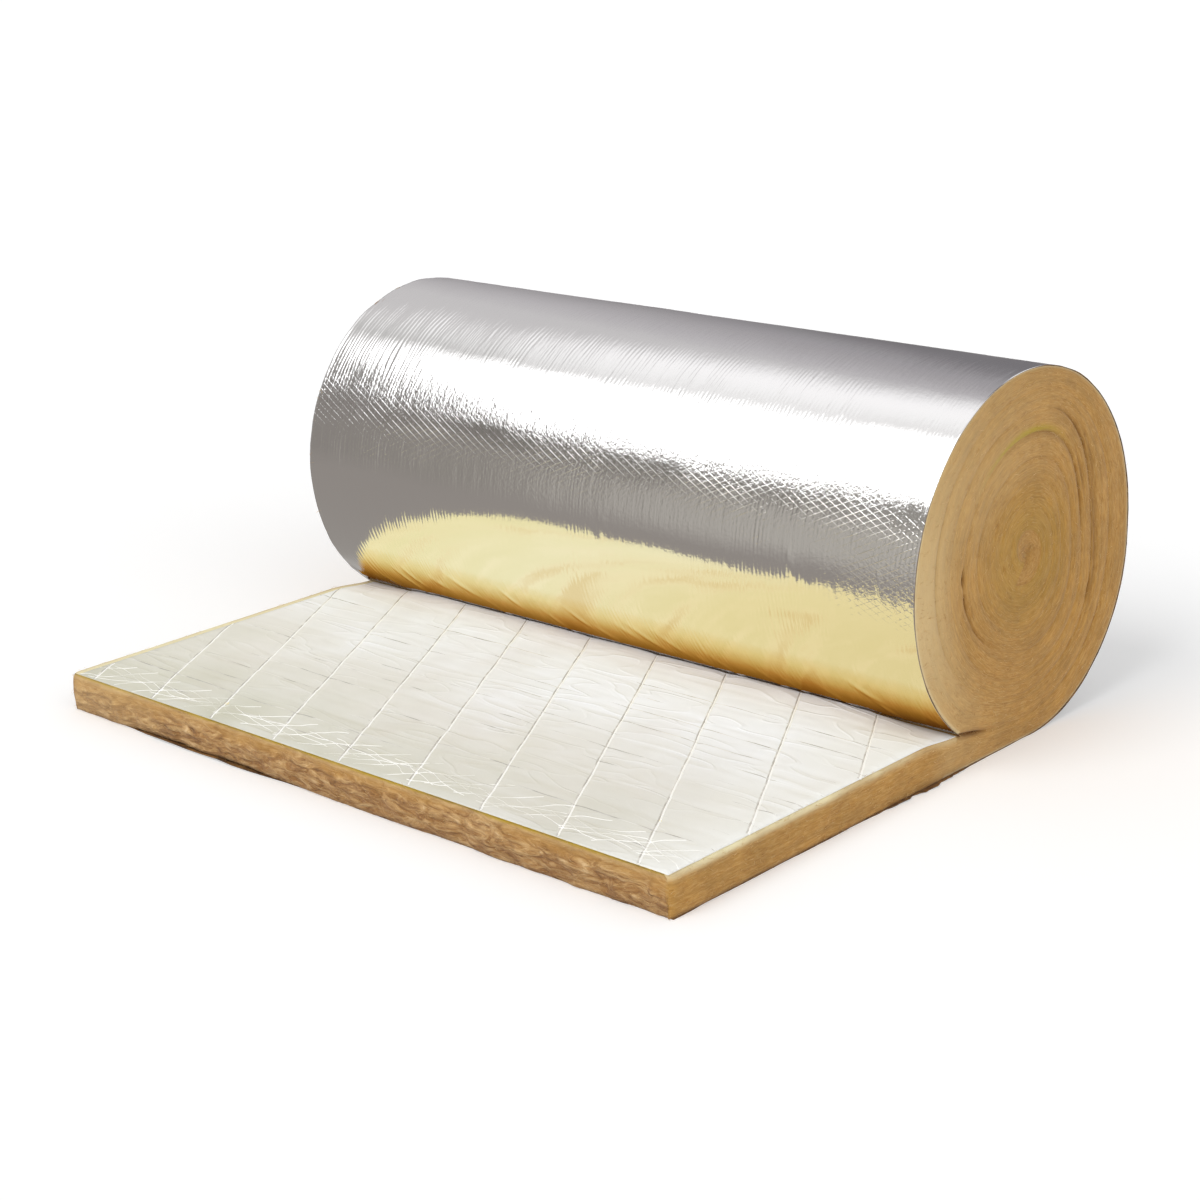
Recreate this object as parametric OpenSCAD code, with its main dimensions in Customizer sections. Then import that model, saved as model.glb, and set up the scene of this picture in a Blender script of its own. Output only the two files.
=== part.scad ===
// A blanket of glass wool, faced on both sides and wound into a roll that lies on its side,
// with its loose end laid out flat in front. X runs along the roll, Z is up, and the origin is
// on the floor under the roll's axis, at the middle of its length. The loose end points to -Y.

/* [Blanket] */
// Width of the blanket, which is the length of the roll
mat_w = 1200; // [600:10:1500]
// Thickness of the wool where it lies free
wool_t = 59; // [50:1:90]
// Loose end, from its cut edge to under the roll's axis
loose_l = 770; // [450:10:1500]

/* [Roll] */
// Outer diameter over the foil
roll_d = 540; // [420:10:700]
// Thickness that one turn is pressed to in the roll
turn_t = 33; // [20:1:45]
// Half of the flat strip that the roll's weight makes on the floor
seat_half = 20; // [8:1:40]
// How far the lower back bulges out under the roll's weight
sag = 8; // [3:1:12]

/* [Facings] */
// Thickness of the reinforced foil on the outside, with its glue
foil_t = 0.5; // [0.3:0.1:1.5]
// Thickness of the reinforced sheet on the inside, with its glue
scrim_t = 0.5; // [0.3:0.1:1.5]
// Bare wool left beside the inside sheet at each edge
scrim_margin = 5; // [2:1:30]

/* [Turns on the ends] */
// Width between the rounded shoulders of two turns
mouth_w = 7; // [4:0.5:12]
// Depth of the shoulders
mouth_depth = 3; // [1:0.5:6]
// Width of the parting line between two turns
seam_w = 2.5; // [1:0.5:4]
// Depth to which the parting line stays open
seam_depth = 10; // [6:1:25]
// Diameter of the hollow eye, which the innermost turn is wound round
eye_d = 20; // [10:1:40]
// Depth at which the eye has closed
eye_depth = 30; // [10:5:100]

/* [Hidden] */
$fn = 180;

roll_r = roll_d / 2;
axis_z = sqrt(roll_r * roll_r - seat_half * seat_half);
wool_top = foil_t + wool_t;
cut_over = 1;

// The lower back is an arc that rests on the floor and blends into the roll at its widest
// point. An arc smaller than the roll by this much stands out by the sag, halfway between.
back_r = roll_r - sag / (sqrt(2) - 1);

// The parting line is wound from half circles, each smaller than the last by half a turn, whose
// centres take turns at two heights. The first one starts one turn inside the foil.
first_r = roll_r - turn_t;
last_r = (eye_d + turn_t) / 2;
half_turns = floor((first_r - last_r) / (turn_t / 2)) + 1;
eye_z = axis_z + ((half_turns - 1) % 2) * turn_t / 2;

// Between the crease and the first half circle the parting line dives under the roll on a wide
// arc, which is level where it meets the half circle
crease_y = sqrt(roll_r * roll_r - pow(axis_z - wool_top, 2));
dive_h = wool_top - (axis_z - first_r);
dive_r = (crease_y * crease_y + dive_h * dive_h) / (2 * dive_h);

// Extrudes a section drawn in the YZ plane from one X to another
module along_x(from, to) {
    translate([from, 0, 0]) rotate([90, 0, 90]) linear_extrude(to - from) children();
}

// Cuts a section into both ends of the roll, to a depth
module end_cut(depth) {
    along_x(mat_w / 2 - depth, mat_w / 2 + cut_over) children();
    along_x(-mat_w / 2 - cut_over, -mat_w / 2 + depth) children();
}

// The roll's section, a given depth in from the face of the foil
module roll_section(depth) {
    intersection() {
        union() {
            translate([0, axis_z]) circle(r = roll_r - depth);
            translate([roll_r - back_r, back_r]) circle(r = back_r - depth);
        }
        translate([-roll_d, depth]) square([2 * roll_d, roll_d]);
    }
}

// The section of the roll's wool together with the wool of the loose end
module wool_section() {
    roll_section(foil_t);
    translate([-loose_l, foil_t]) square([loose_l, wool_t]);
}

// A ring about a point above the floor, as far as it lies in a box
module ring_part(radius, centre_z, width, box_at, box_size) {
    intersection() {
        translate([0, centre_z]) difference() {
            circle(r = radius + width / 2);
            circle(r = radius - width / 2);
        }
        translate(box_at) square(box_size);
    }
}

// The line between the turns, from the crease in front to the innermost turn
module parting_line(width) {
    ring_part(dive_r, axis_z - first_r + dive_r, width, [-crease_y, 0], [crease_y, axis_z]);
    for (i = [0:half_turns - 1]) {
        on_back = i % 2 == 0;
        ring_part(
            first_r - i * turn_t / 2, axis_z + (on_back ? 0 : turn_t / 2), width,
            [on_back ? 0 : -roll_r, 0], [roll_r, roll_d]
        );
    }
}

// The glass wool: the wound roll and the loose end in one piece, with its turns on both ends
module wool_blanket() {
    color("#b68a4c")
    difference() {
        along_x(-mat_w / 2, mat_w / 2) wool_section();
        end_cut(mouth_depth) parting_line(mouth_w);
        end_cut(seam_depth) parting_line(seam_w);
        end_cut(eye_depth) translate([0, eye_z]) circle(d = eye_d);
    }
}

// The foil glued to the outside: under the loose end, up the back, over the top and into the crease
module foil_facing() {
    color("#c9cbce")
    along_x(-mat_w / 2, mat_w / 2)
        difference() {
            union() {
                roll_section(0);
                translate([-loose_l, 0]) square([loose_l, foil_t]);
            }
            wool_section();
        }
}

// The pale reinforced sheet glued to the inside, which shows on top of the loose end
module scrim_facing() {
    color("#ebe8e0")
    along_x(-mat_w / 2 + scrim_margin, mat_w / 2 - scrim_margin)
        difference() {
            translate([-loose_l, wool_top]) square([loose_l, scrim_t]);
            roll_section(0);
        }
}

wool_blanket();
foil_facing();
scrim_facing();
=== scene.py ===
# Insulation roll: a blanket of glass wool with foil glued to its outside and a pale reinforced
# sheet to its inside, wound up and lying on its side with its loose end laid out in front.
import math

import bmesh
import bpy
import numpy as np
from mathutils import Matrix, Vector


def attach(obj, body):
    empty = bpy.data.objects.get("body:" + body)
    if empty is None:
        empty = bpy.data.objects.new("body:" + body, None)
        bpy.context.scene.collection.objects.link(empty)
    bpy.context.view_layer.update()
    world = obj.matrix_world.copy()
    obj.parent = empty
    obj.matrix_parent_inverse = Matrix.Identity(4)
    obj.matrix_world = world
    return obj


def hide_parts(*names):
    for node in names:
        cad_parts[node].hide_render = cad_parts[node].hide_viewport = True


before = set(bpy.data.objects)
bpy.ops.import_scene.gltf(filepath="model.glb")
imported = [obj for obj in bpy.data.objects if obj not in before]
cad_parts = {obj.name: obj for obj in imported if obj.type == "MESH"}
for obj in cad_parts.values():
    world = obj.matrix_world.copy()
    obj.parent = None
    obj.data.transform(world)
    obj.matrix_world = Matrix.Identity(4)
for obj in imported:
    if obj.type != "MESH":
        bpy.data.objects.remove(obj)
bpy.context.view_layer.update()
scene = bpy.context.scene

# The blanket's own sizes in metres, as in its construction
blanket = {
    "width": 1.2,
    "looseLength": 0.77,
    "thickness": 0.06,
    "rollRadius": 0.27,
    "axisHeight": 0.26926,
    "backRadius": 0.25069,
    "turnPitch": 0.033,
    "creaseHeight": 0.052,  # the roll presses the loose end down a little where they meet
    "creaseReach": 0.09,
}
halfWidth = blanket["width"] / 2
rollRadius = blanket["rollRadius"]
axisHeight = blanket["axisHeight"]
creaseY = -math.sqrt(rollRadius**2 - (axisHeight - blanket["creaseHeight"]) ** 2)
creaseAngle = math.atan2(-creaseY, axisHeight - blanket["creaseHeight"])
fullTurn = 2 * math.pi
seatAngle = math.asin(0.02 / rollRadius)  # half of the strip that rests on the floor
woolFloor = 0.0009  # the wool's lowest and highest levels, inside its facings
woolTop = blanket["thickness"] - 0.0005
foilGap = 0.0009  # how far the wool stays inside the foil
offSheet = (-3.0, -3.0)  # where the flat maps put faces that carry no threads


def linearColor(hexColor):
    parts = [int(hexColor[i : i + 2], 16) / 255 for i in (1, 3, 5)]
    return [c / 12.92 if c <= 0.04045 else ((c + 0.055) / 1.055) ** 2.4 for c in parts] + [1.0]


def addNode(tree, kind, inputs=None):  # a value that is a node or a socket becomes a link
    node = tree.nodes.new(kind)
    for name, value in (inputs or {}).items():
        if isinstance(value, bpy.types.Node):
            value = value.outputs[0]
        if isinstance(value, bpy.types.NodeSocket):
            tree.links.new(value, node.inputs[name])
        elif name == "stops":
            ramp = node.color_ramp.elements
            while len(ramp) < len(value):
                ramp.new(1.0)
            for element, (position, color) in zip(ramp, value):
                element.position = position
                element.color = linearColor(color) if isinstance(color, str) else [color] * 3 + [1]
        elif isinstance(name, int) or name in node.inputs:
            node.inputs[name].default_value = value
        else:
            setattr(node, name, value)
    return node


def smoothStep(low, high, value):
    t = np.clip((value - low) / (high - low), 0, 1)
    return t * t * (3 - 2 * t)


def bell(value, centre, spread):
    return np.exp(-(((value - centre) / spread) ** 2))


def patchNoise(u, v, seed, octaves=3):  # soft random relief from about -1 to 1
    table = np.random.default_rng(seed).uniform(-1, 1, (256, 256))
    total, strength = 0.0, 0.0
    for octave in range(octaves):
        scale, share = 2**octave, 0.5**octave
        a, b = np.asarray(u) * scale + 17.3 * octave, np.asarray(v) * scale + 5.9 * octave
        i, j = np.floor(a).astype(int), np.floor(b).astype(int)
        fa, fb = a - i, b - j
        fa, fb = fa * fa * (3 - 2 * fa), fb * fb * (3 - 2 * fb)
        corner = lambda di, dj: table[(i + di) % 256, (j + dj) % 256]
        near = corner(0, 0) * (1 - fa) + corner(1, 0) * fa
        far = corner(0, 1) * (1 - fa) + corner(1, 1) * fa
        total = total + share * (near * (1 - fb) + far * fb)
        strength += share
    return total / strength * 1.6


def makeMesh(name, shell, materials, attributes):  # a piece from what the shell has gathered
    mesh = bpy.data.meshes.new(name)
    mesh.from_pydata(np.vstack(shell["points"]), [], shell["faces"])
    for material in materials:
        mesh.materials.append(material)
    layer = mesh.uv_layers.new(name="flat")
    layer.data.foreach_set("uv", np.vstack(shell["flats"]).astype(np.float32).ravel())
    for key, values in attributes.items():
        layer = mesh.attributes.new(key, "FLOAT", "POINT")
        layer.data.foreach_set("value", values.astype(np.float32))
    mesh.polygons.foreach_set("material_index", shell["slots"])
    mesh.polygons.foreach_set("use_smooth", np.array(shell["slots"]) == 0)
    mesh.update()
    piece = bpy.data.objects.new(name, mesh)
    scene.collection.objects.link(piece)
    return piece


def bakeNodes(name, source, tree, values):  # a plain mesh from a node tree
    holder = source.copy()
    scene.collection.objects.link(holder)
    modifier = holder.modifiers.new("nodes", "NODES")
    modifier.node_group = tree
    sockets = {item.name: item.identifier for item in tree.interface.items_tree}
    for key, value in values.items():
        modifier[sockets[key]] = value
    bpy.context.view_layer.update()
    evaluated = holder.evaluated_get(bpy.context.evaluated_depsgraph_get())
    mesh = bpy.data.meshes.new_from_object(evaluated)
    mesh.name = name
    bpy.data.objects.remove(holder)
    piece = bpy.data.objects.new(name, mesh)
    scene.collection.objects.link(piece)
    return piece


def newTree(name, **sockets):  # a geometry node group with its named inputs
    tree = bpy.data.node_groups.new(name, "GeometryNodeTree")
    tree.interface.new_socket("Geometry", in_out="INPUT", socket_type="NodeSocketGeometry")
    for key, kind in sockets.items():
        tree.interface.new_socket(key, in_out="INPUT", socket_type=kind)
    tree.interface.new_socket("Geometry", in_out="OUTPUT", socket_type="NodeSocketGeometry")
    tree.nodes.new("NodeGroupInput").name = "given"
    tree.nodes.new("NodeGroupOutput").name = "result"
    return tree


def finishTree(tree, geometry, smooth):  # the end that all the trees share
    real = addNode(tree, "GeometryNodeRealizeInstances", {0: geometry})
    shaded = addNode(tree, "GeometryNodeSetShadeSmooth", {"Shade Smooth": smooth, 0: real})
    coated = addNode(tree, "GeometryNodeSetMaterial", {
        "Geometry": shaded, "Material": tree.nodes["given"].outputs["Material"]})
    tree.links.new(coated.outputs[0], tree.nodes["result"].inputs[0])


def outlineRadius(angle):  # the roll's section, by an angle from straight down towards the back
    sinA, cosA = np.sin(angle), np.cos(angle)
    across = rollRadius - blanket["backRadius"]
    up = blanket["backRadius"] - axisHeight
    along = sinA * across - cosA * up
    back = along + np.sqrt(along**2 - across**2 - up**2 + blanket["backRadius"] ** 2)
    free = np.maximum(rollRadius, back)
    floorHit = axisHeight / np.maximum(cosA, 1e-6)
    return np.where(cosA > 0, np.minimum(free, floorHit), free)


def circleHit(angle, radius, up):  # how far out a ray meets a circle centred above the axis
    cosA = np.cos(angle)
    return -cosA * up + np.sqrt(np.maximum((cosA * up) ** 2 - up**2 + radius**2, 0))


# How the turns lie in the roll: pressed together on some sides and left open on others. A place
# along the winding is an angle that starts straight down and grows towards the back.
turns = {
    "count": 7,
    "steps": 432,  # stations round one turn
    # how far the turns are drawn in or out, about which angle and how wide
    "squeeze": (0.16, math.radians(95), math.radians(40)),
    "stretch": (0.045, math.radians(158), math.radians(25)),
    "wander": 0.0020,
    "closedDepth": 0.0009,
    # turn, angle, reach and depth of each stretch where two turns stand apart
    "openings": [
        (2, 84, 40, 0.0042),
        (2, 62, 4, 0.009),
        (2, 138, 18, 0.0050),
        (3, 116, 24, 0.0042),
        (3, 165, 22, 0.0020),
        (3, 267.5, 4, 0.010),
        (3, 282, 7, 0.005),
        (3, 303, 14, 0.0030),
        (1, 66, 40, 0.0014),
        (1, 270, 40, 0.0012),
        (0, 330, 7, 0.012),
        (4, 200, 60, 0.0008),
        (5, 330, 50, 0.0012),
        (6, 60, 80, 0.0016),
    ],
    # the same for splits inside the wool, with their distance from the inner parting line
    "splits": [
        (1, 92, 36, 0.0082, 0.0068),
        (2, 125, 14, 0.0105, 0.004),
    ],
}


def seamRadius(total):  # the line between two turns, by the angle along the winding
    pitch = blanket["turnPitch"]
    first = rollRadius - pitch
    low = axisHeight - first
    drop = blanket["creaseHeight"] - low
    diveRadius = (creaseY**2 + drop**2) / (2 * drop)
    dive = circleHit(total, diveRadius, low + diveRadius - axisHeight)
    half = np.maximum(np.floor((total - fullTurn) / math.pi + 1e-9), 0)
    wound = circleHit(total, np.maximum(first - half * pitch / 2, 0.01), (half % 2) * pitch / 2)
    radius = np.where(total < fullTurn, dive, wound)
    angle = np.mod(total, fullTurn)
    middle = smoothStep(0.05, 0.12, radius) * (1 - smoothStep(0.20, 0.268, radius))
    share, centre, spread = turns["squeeze"]
    change = -share * bell(angle, centre, spread)
    share, centre, spread = turns["stretch"]
    change = change + share * bell(angle, centre, spread)
    pastCrease = smoothStep(0, 1.2, total - (fullTurn - creaseAngle))
    wander = turns["wander"] * patchNoise(total * 1.3, total * 0, 11, 2) * pastCrease
    return radius * (1 + change * middle) + wander * smoothStep(0.02, 0.08, radius)


def faceRadius(total):  # the blanket's outer face, just inside the foil on the first turn
    cosA = np.maximum(np.cos(total), 1e-6)
    onFloor = (axisHeight - woolFloor) / cosA
    onFoil = outlineRadius(total) - foilGap
    crease = fullTurn - creaseAngle - 1e-6
    return np.where(total < 0, onFloor, np.where(total < crease, onFoil, seamRadius(total) - foilGap))


def seamDepth(total):  # how far the wool's ends draw back beside the parting line
    depth = np.full_like(total, turns["closedDepth"])
    depth = depth * (1 + 0.5 * patchNoise(total * 2.1, total * 0, 5, 2))
    for turn, angle, reach, extra in turns["openings"]:
        centre = math.radians(angle) + turn * fullTurn
        depth = depth + extra * bell(total, centre, math.radians(reach))
    return np.where(total < fullTurn - creaseAngle - 1e-6, 0.0004, depth)


def looseTop(y):  # height of the wool's top in front of the roll
    dip = woolTop - blanket["creaseHeight"]
    near = 1 - smoothStep(0, blanket["creaseReach"], creaseY - np.asarray(y))
    return woolTop - dip * near


def sheetTop(x, y):  # the same under the pale sheet, where it is pressed down only near its ends
    share = smoothStep(0.40, 0.575, abs(x))
    high = woolTop + 0.0020 * bell(y, creaseY - 0.02, 0.06)
    underRoll = axisHeight - np.sqrt(rollRadius**2 - np.clip(y, -0.26, 0) ** 2) - 0.0014
    high = np.where(y > -0.2, np.minimum(high, underRoll), high)
    return looseTop(y) * share + high * (1 - share)


# Materials

wool = {
    "shade": "#AC7A39",
    "body": "#BF8F47",
    "light": "#CFA665",
    # painted shade: the colour that crevices, the eye and the cut front's lower part darken towards
    "crevice": "#6E4416",
    # painted highlight: the pale colour of the wool's soft upper edges
    "rim": "#EFE5BC",
    "pale": "#D6BA86",
    "brown": "#9C7040",
    "yellow": "#AC9000",
    "flatMm": 2000,  # what one unit of its flat map stands for
    "streakMm": (17, 2.4),  # along and across the layers of laid fibres
    "bandMm": (260, 11),
    "fineMm": (22, 1.5),
}
foil = {
    "color": "#E9E9EA",
    "creaseShade": "#8F6238",  # painted shade: the dark brown line along the crease, and where it fades in and is full
    "creaseShadeMm": (9, 5),
    "roughness": 0.105,
    "flatMm": (1200, 1510),  # what its flat map stands for, along the roll and round it
    "rippleMm": (4.5, 30.0),
    "rippleHeight": 0.00020,
    "crinkleMm": (10.0, 10.0),
    "crinkleHeight": 0.00012,
    "crumpleMm": (5.0, 5.0),  # of the small creases beside tight threads
    "crumpleHeight": 0.00055,
}
scrim = {
    "corner": "#C4C3B5",  # nearest to the cut edge, on the left
    "front": "#D5D4CB",
    "middle": "#E3E1DD",
    # painted light: the sheet is whitened near the roll, against the shade the roll casts there
    "back": "#F8FAFF",
    "edge": "#F1F1EE",
    # painted shadow beside each slanted thread
    "pressed": "#B5B2AE",
    # painted shade of the level creases
    "creased": "#AEABA7",
    "roughness": 0.42,
}


def newMaterial(name, inputs):  # one plain shader with its inputs, to link the rest to
    material = bpy.data.materials.new(name)
    material.use_nodes = True
    tree = material.node_tree
    tree.nodes.clear()
    shader = addNode(tree, "ShaderNodeBsdfPrincipled", inputs)
    addNode(tree, "ShaderNodeOutputMaterial", {"Surface": shader})
    return material, tree, shader


# Glass wool: spun glass with a golden phenolic binder, laid down in thin layers and cut across.
# The eye sees matt tan streaks along the layers, with painted shade where two turns part and a painted
# highlight that makes soft edges pale.
woolMaterial, tree, shader = newMaterial("cut glass wool", {
    "Roughness": 0.94,
    "Specular IOR Level": 0.2,
    "Sheen Weight": 0.12,
    "Sheen Roughness": 0.6,
})
flat = addNode(tree, "ShaderNodeUVMap", {"uv_map": "flat"})
layers = addNode(tree, "ShaderNodeMapping", {
    "Scale": (*(wool["flatMm"] / mm for mm in wool["streakMm"]), 1), "Vector": flat})
streaks = addNode(tree, "ShaderNodeTexNoise", {
    "Scale": 1.0, "Detail": 4.0, "Roughness": 0.62, "Distortion": 0.5, "Vector": layers})
bandMap = addNode(tree, "ShaderNodeMapping", {
    "Scale": (*(wool["flatMm"] / mm for mm in wool["bandMm"]), 1), "Vector": flat})
bands = addNode(tree, "ShaderNodeTexNoise", {"Scale": 1.0, "Detail": 2.0, "Vector": bandMap})
place = addNode(tree, "ShaderNodeTexCoord")
patches = addNode(tree, "ShaderNodeTexNoise", {
    "Scale": 17.0, "Detail": 6.0, "Roughness": 0.68, "Vector": place.outputs["Object"]})
swirlMap = addNode(tree, "ShaderNodeMapping", {
    "Scale": (26.0, 60.0, 95.0), "Vector": place.outputs["Object"]})
swirls = addNode(tree, "ShaderNodeTexNoise", {
    "Scale": 1.0, "Detail": 5.0, "Roughness": 0.7, "Distortion": 1.1, "Vector": swirlMap})
streakTone = addNode(tree, "ShaderNodeValToRGB", {
    "stops": [(0.30, wool["shade"]), (0.50, wool["body"]), (0.72, wool["light"])], "Fac": streaks})
bandTone = addNode(tree, "ShaderNodeValToRGB", {"stops": [(0.34, 0.80), (0.62, 1.0)], "Fac": bands})
banded = addNode(tree, "ShaderNodeMix", {
    "data_type": "RGBA", "blend_type": "MULTIPLY", 0: 0.7, 6: streakTone, 7: bandTone})
patchTone = addNode(tree, "ShaderNodeValToRGB", {"stops": [(0.33, 0.72), (0.66, 1.0)], "Fac": patches})
patched = addNode(tree, "ShaderNodeMix", {
    "data_type": "RGBA", "blend_type": "MULTIPLY", 0: 0.72, 6: banded.outputs[2], 7: patchTone})
coarse = addNode(tree, "ShaderNodeAttribute", {"attribute_name": "coarse"})
coarseTone = addNode(tree, "ShaderNodeValToRGB", {
    "stops": [(0.30, "#6A4720"), (0.44, wool["brown"]), (0.56, "#C29A64"), (0.72, "#E6C594")],
    "Fac": swirls})
torn = addNode(tree, "ShaderNodeMix", {
    "data_type": "RGBA", 0: coarse.outputs["Fac"], 6: patched.outputs[2], 7: coarseTone})
tint = addNode(tree, "ShaderNodeAttribute", {"attribute_name": "tint"})
tinted = addNode(tree, "ShaderNodeMix", {
    "data_type": "RGBA", 0: tint.outputs["Fac"], 6: torn.outputs[2], 7: linearColor(wool["yellow"])})
pale = addNode(tree, "ShaderNodeAttribute", {"attribute_name": "pale"})
paled = addNode(tree, "ShaderNodeMix", {
    "data_type": "RGBA", 0: pale.outputs["Fac"], 6: tinted.outputs[2], 7: linearColor(wool["pale"])})
# painted highlight on soft edges
rim = addNode(tree, "ShaderNodeAttribute", {"attribute_name": "rim"})
rimmed = addNode(tree, "ShaderNodeMix", {
    "data_type": "RGBA", 0: rim.outputs["Fac"], 6: paled.outputs[2], 7: linearColor(wool["rim"])})
# painted shade where turns part, in the eye and low on the cut front
crevice = addNode(tree, "ShaderNodeAttribute", {"attribute_name": "crevice"})
woolColor = addNode(tree, "ShaderNodeMix", {
    "data_type": "RGBA", 0: crevice.outputs["Fac"], 6: rimmed.outputs[2],
    7: linearColor(wool["crevice"])})
tree.links.new(woolColor.outputs[2], shader.inputs["Base Color"])
fineMap = addNode(tree, "ShaderNodeMapping", {
    "Scale": (*(wool["flatMm"] / mm for mm in wool["fineMm"]), 1), "Vector": flat})
fineStreaks = addNode(tree, "ShaderNodeTexNoise", {
    "Scale": 1.0, "Detail": 3.0, "Roughness": 0.6, "Vector": fineMap})
layerBump = addNode(tree, "ShaderNodeBump", {"Strength": 0.4, "Distance": 0.0013, "Height": streaks})
fineBump = addNode(tree, "ShaderNodeBump", {
    "Strength": 0.4, "Distance": 0.0007, "Height": fineStreaks, "Normal": layerBump})
swirlHeight = addNode(tree, "ShaderNodeMath", {
    "operation": "MULTIPLY", 0: swirls, 1: coarse.outputs["Fac"]})
tornBump = addNode(tree, "ShaderNodeBump", {
    "Strength": 0.9, "Distance": 0.006, "Height": swirlHeight, "Normal": fineBump})
tree.links.new(tornBump.outputs[0], shader.inputs["Normal"])

# Single glass fibres and small tufts that stand out of the cut: paler than the mass behind them
fibreMaterial, tree, shader = newMaterial("loose glass fibres", {"Roughness": 0.7})
place = addNode(tree, "ShaderNodeTexCoord")
fibreNoise = addNode(tree, "ShaderNodeTexNoise", {
    "Scale": 140.0, "Detail": 1.0, "Vector": place.outputs["Object"]})
fibreTone = addNode(tree, "ShaderNodeValToRGB", {
    "stops": [(0.35, "#B07F3E"), (0.52, "#D0A564"), (0.68, "#EBD09A")], "Fac": fibreNoise})
tree.links.new(fibreTone.outputs["Color"], shader.inputs["Base Color"])

# Reinforced foil: bright rolled aluminium on paper with glass threads between. The eye sees a
# mirror that long shallow ripples round the roll break up, and threads that glint beside lights.
foilMaterial, tree, shader = newMaterial("reinforced aluminium foil", {
    "Metallic": 1.0,
    "Roughness": foil["roughness"],
})
flat = addNode(tree, "ShaderNodeUVMap", {"uv_map": "flat"})
flatParts = addNode(tree, "ShaderNodeSeparateXYZ", {"Vector": flat})
# painted shade: the foil's last few millimetres before the crease turn dark brown
creaseShading = addNode(tree, "ShaderNodeMapRange", {
    "From Min": 1 - foil["creaseShadeMm"][0] / foil["flatMm"][1],
    "From Max": 1 - foil["creaseShadeMm"][1] / foil["flatMm"][1], "Value": flatParts.outputs["Y"]})
foilTone = addNode(tree, "ShaderNodeMix", {
    "data_type": "RGBA", 0: creaseShading, 6: linearColor(foil["color"]), 7: linearColor(foil["creaseShade"])})
tree.links.new(foilTone.outputs[2], shader.inputs["Base Color"])
rippleMap = addNode(tree, "ShaderNodeMapping", {
    "Scale": (*np.divide(foil["flatMm"], foil["rippleMm"]).tolist(), 1), "Vector": flat})
ripples = addNode(tree, "ShaderNodeTexNoise", {
    "Scale": 1.0, "Detail": 2.0, "Roughness": 0.5, "Vector": rippleMap})
crinkleMap = addNode(tree, "ShaderNodeMapping", {
    "Scale": (*np.divide(foil["flatMm"], foil["crinkleMm"]).tolist(), 1), "Vector": flat})
crinkles = addNode(tree, "ShaderNodeTexNoise", {"Scale": 1.0, "Detail": 2.0, "Vector": crinkleMap})
rippleBump = addNode(tree, "ShaderNodeBump", {
    "Strength": 1.0, "Distance": foil["rippleHeight"], "Height": ripples})
crinkleBump = addNode(tree, "ShaderNodeBump", {
    "Strength": 1.0, "Distance": foil["crinkleHeight"], "Height": crinkles, "Normal": rippleBump})
crumpleMap = addNode(tree, "ShaderNodeMapping", {
    "Scale": (*np.divide(foil["flatMm"], foil["crumpleMm"]).tolist(), 1), "Vector": flat})
crumples = addNode(tree, "ShaderNodeTexNoise", {
    "Scale": 1.0, "Detail": 2.0, "Distortion": 0.6, "Vector": crumpleMap})
drawnTight = addNode(tree, "ShaderNodeAttribute", {"attribute_name": "tight"})
crumpleHeight = addNode(tree, "ShaderNodeMath", {
    "operation": "MULTIPLY", 0: crumples, 1: drawnTight.outputs["Fac"]})
crumpleBump = addNode(tree, "ShaderNodeBump", {
    "Strength": 1.0, "Distance": foil["crumpleHeight"], "Height": crumpleHeight, "Normal": crinkleBump})
tree.links.new(crumpleBump.outputs[0], shader.inputs["Normal"])

# The foil's own cut edge and its paper lining: brown kraft paper, dull
foilEdgeMaterial, tree, shader = newMaterial("paper edge of the foil", {"Roughness": 0.8})
place = addNode(tree, "ShaderNodeTexCoord")
paperNoise = addNode(tree, "ShaderNodeTexNoise", {
    "Scale": 60.0, "Detail": 2.0, "Vector": place.outputs["Object"]})
paperTone = addNode(tree, "ShaderNodeValToRGB", {
    "stops": [(0.35, "#4A3018"), (0.65, "#86602F")], "Fac": paperNoise})
tree.links.new(paperTone.outputs["Color"], shader.inputs["Base Color"])

# The same foil where it is drawn over a thread: too narrow to carry ripples of its own
threadMaterial, tree, shader = newMaterial("foil over thread", {
    "Base Color": linearColor(foil["color"]),
    "Metallic": 1.0,
    "Roughness": 0.2,
})

# Inner facing: white metallised film on a wide net of glass threads, dull and slightly quilted.
# The eye sees a pale sheet, greener towards the cut edge and painted whiter near the roll against its
# shade, with white lines that have painted grey shadows.
scrimMaterial, tree, shader = newMaterial("pale reinforced film", {
    "Roughness": scrim["roughness"],
    "Specular IOR Level": 0.35,
})
place = addNode(tree, "ShaderNodeTexCoord")
spread = addNode(tree, "ShaderNodeSeparateXYZ", {"Vector": place.outputs["Object"]})
patches = addNode(tree, "ShaderNodeTexNoise", {
    "Scale": 7.0, "Detail": 2.0, "Vector": place.outputs["Object"]})
wobble = addNode(tree, "ShaderNodeMath", {"operation": "MULTIPLY_ADD", 0: patches, 1: 0.35, 2: -0.175})
wobbled = addNode(tree, "ShaderNodeMath", {"operation": "ADD", 0: spread.outputs["Y"], 1: wobble})
forward = addNode(tree, "ShaderNodeMath", {
    "operation": "MULTIPLY_ADD", 0: spread.outputs["X"], 1: 0.10, 2: wobbled})
frontShare = addNode(tree, "ShaderNodeMapRange", {"From Min": -0.90, "From Max": -0.15, "Value": forward})
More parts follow.
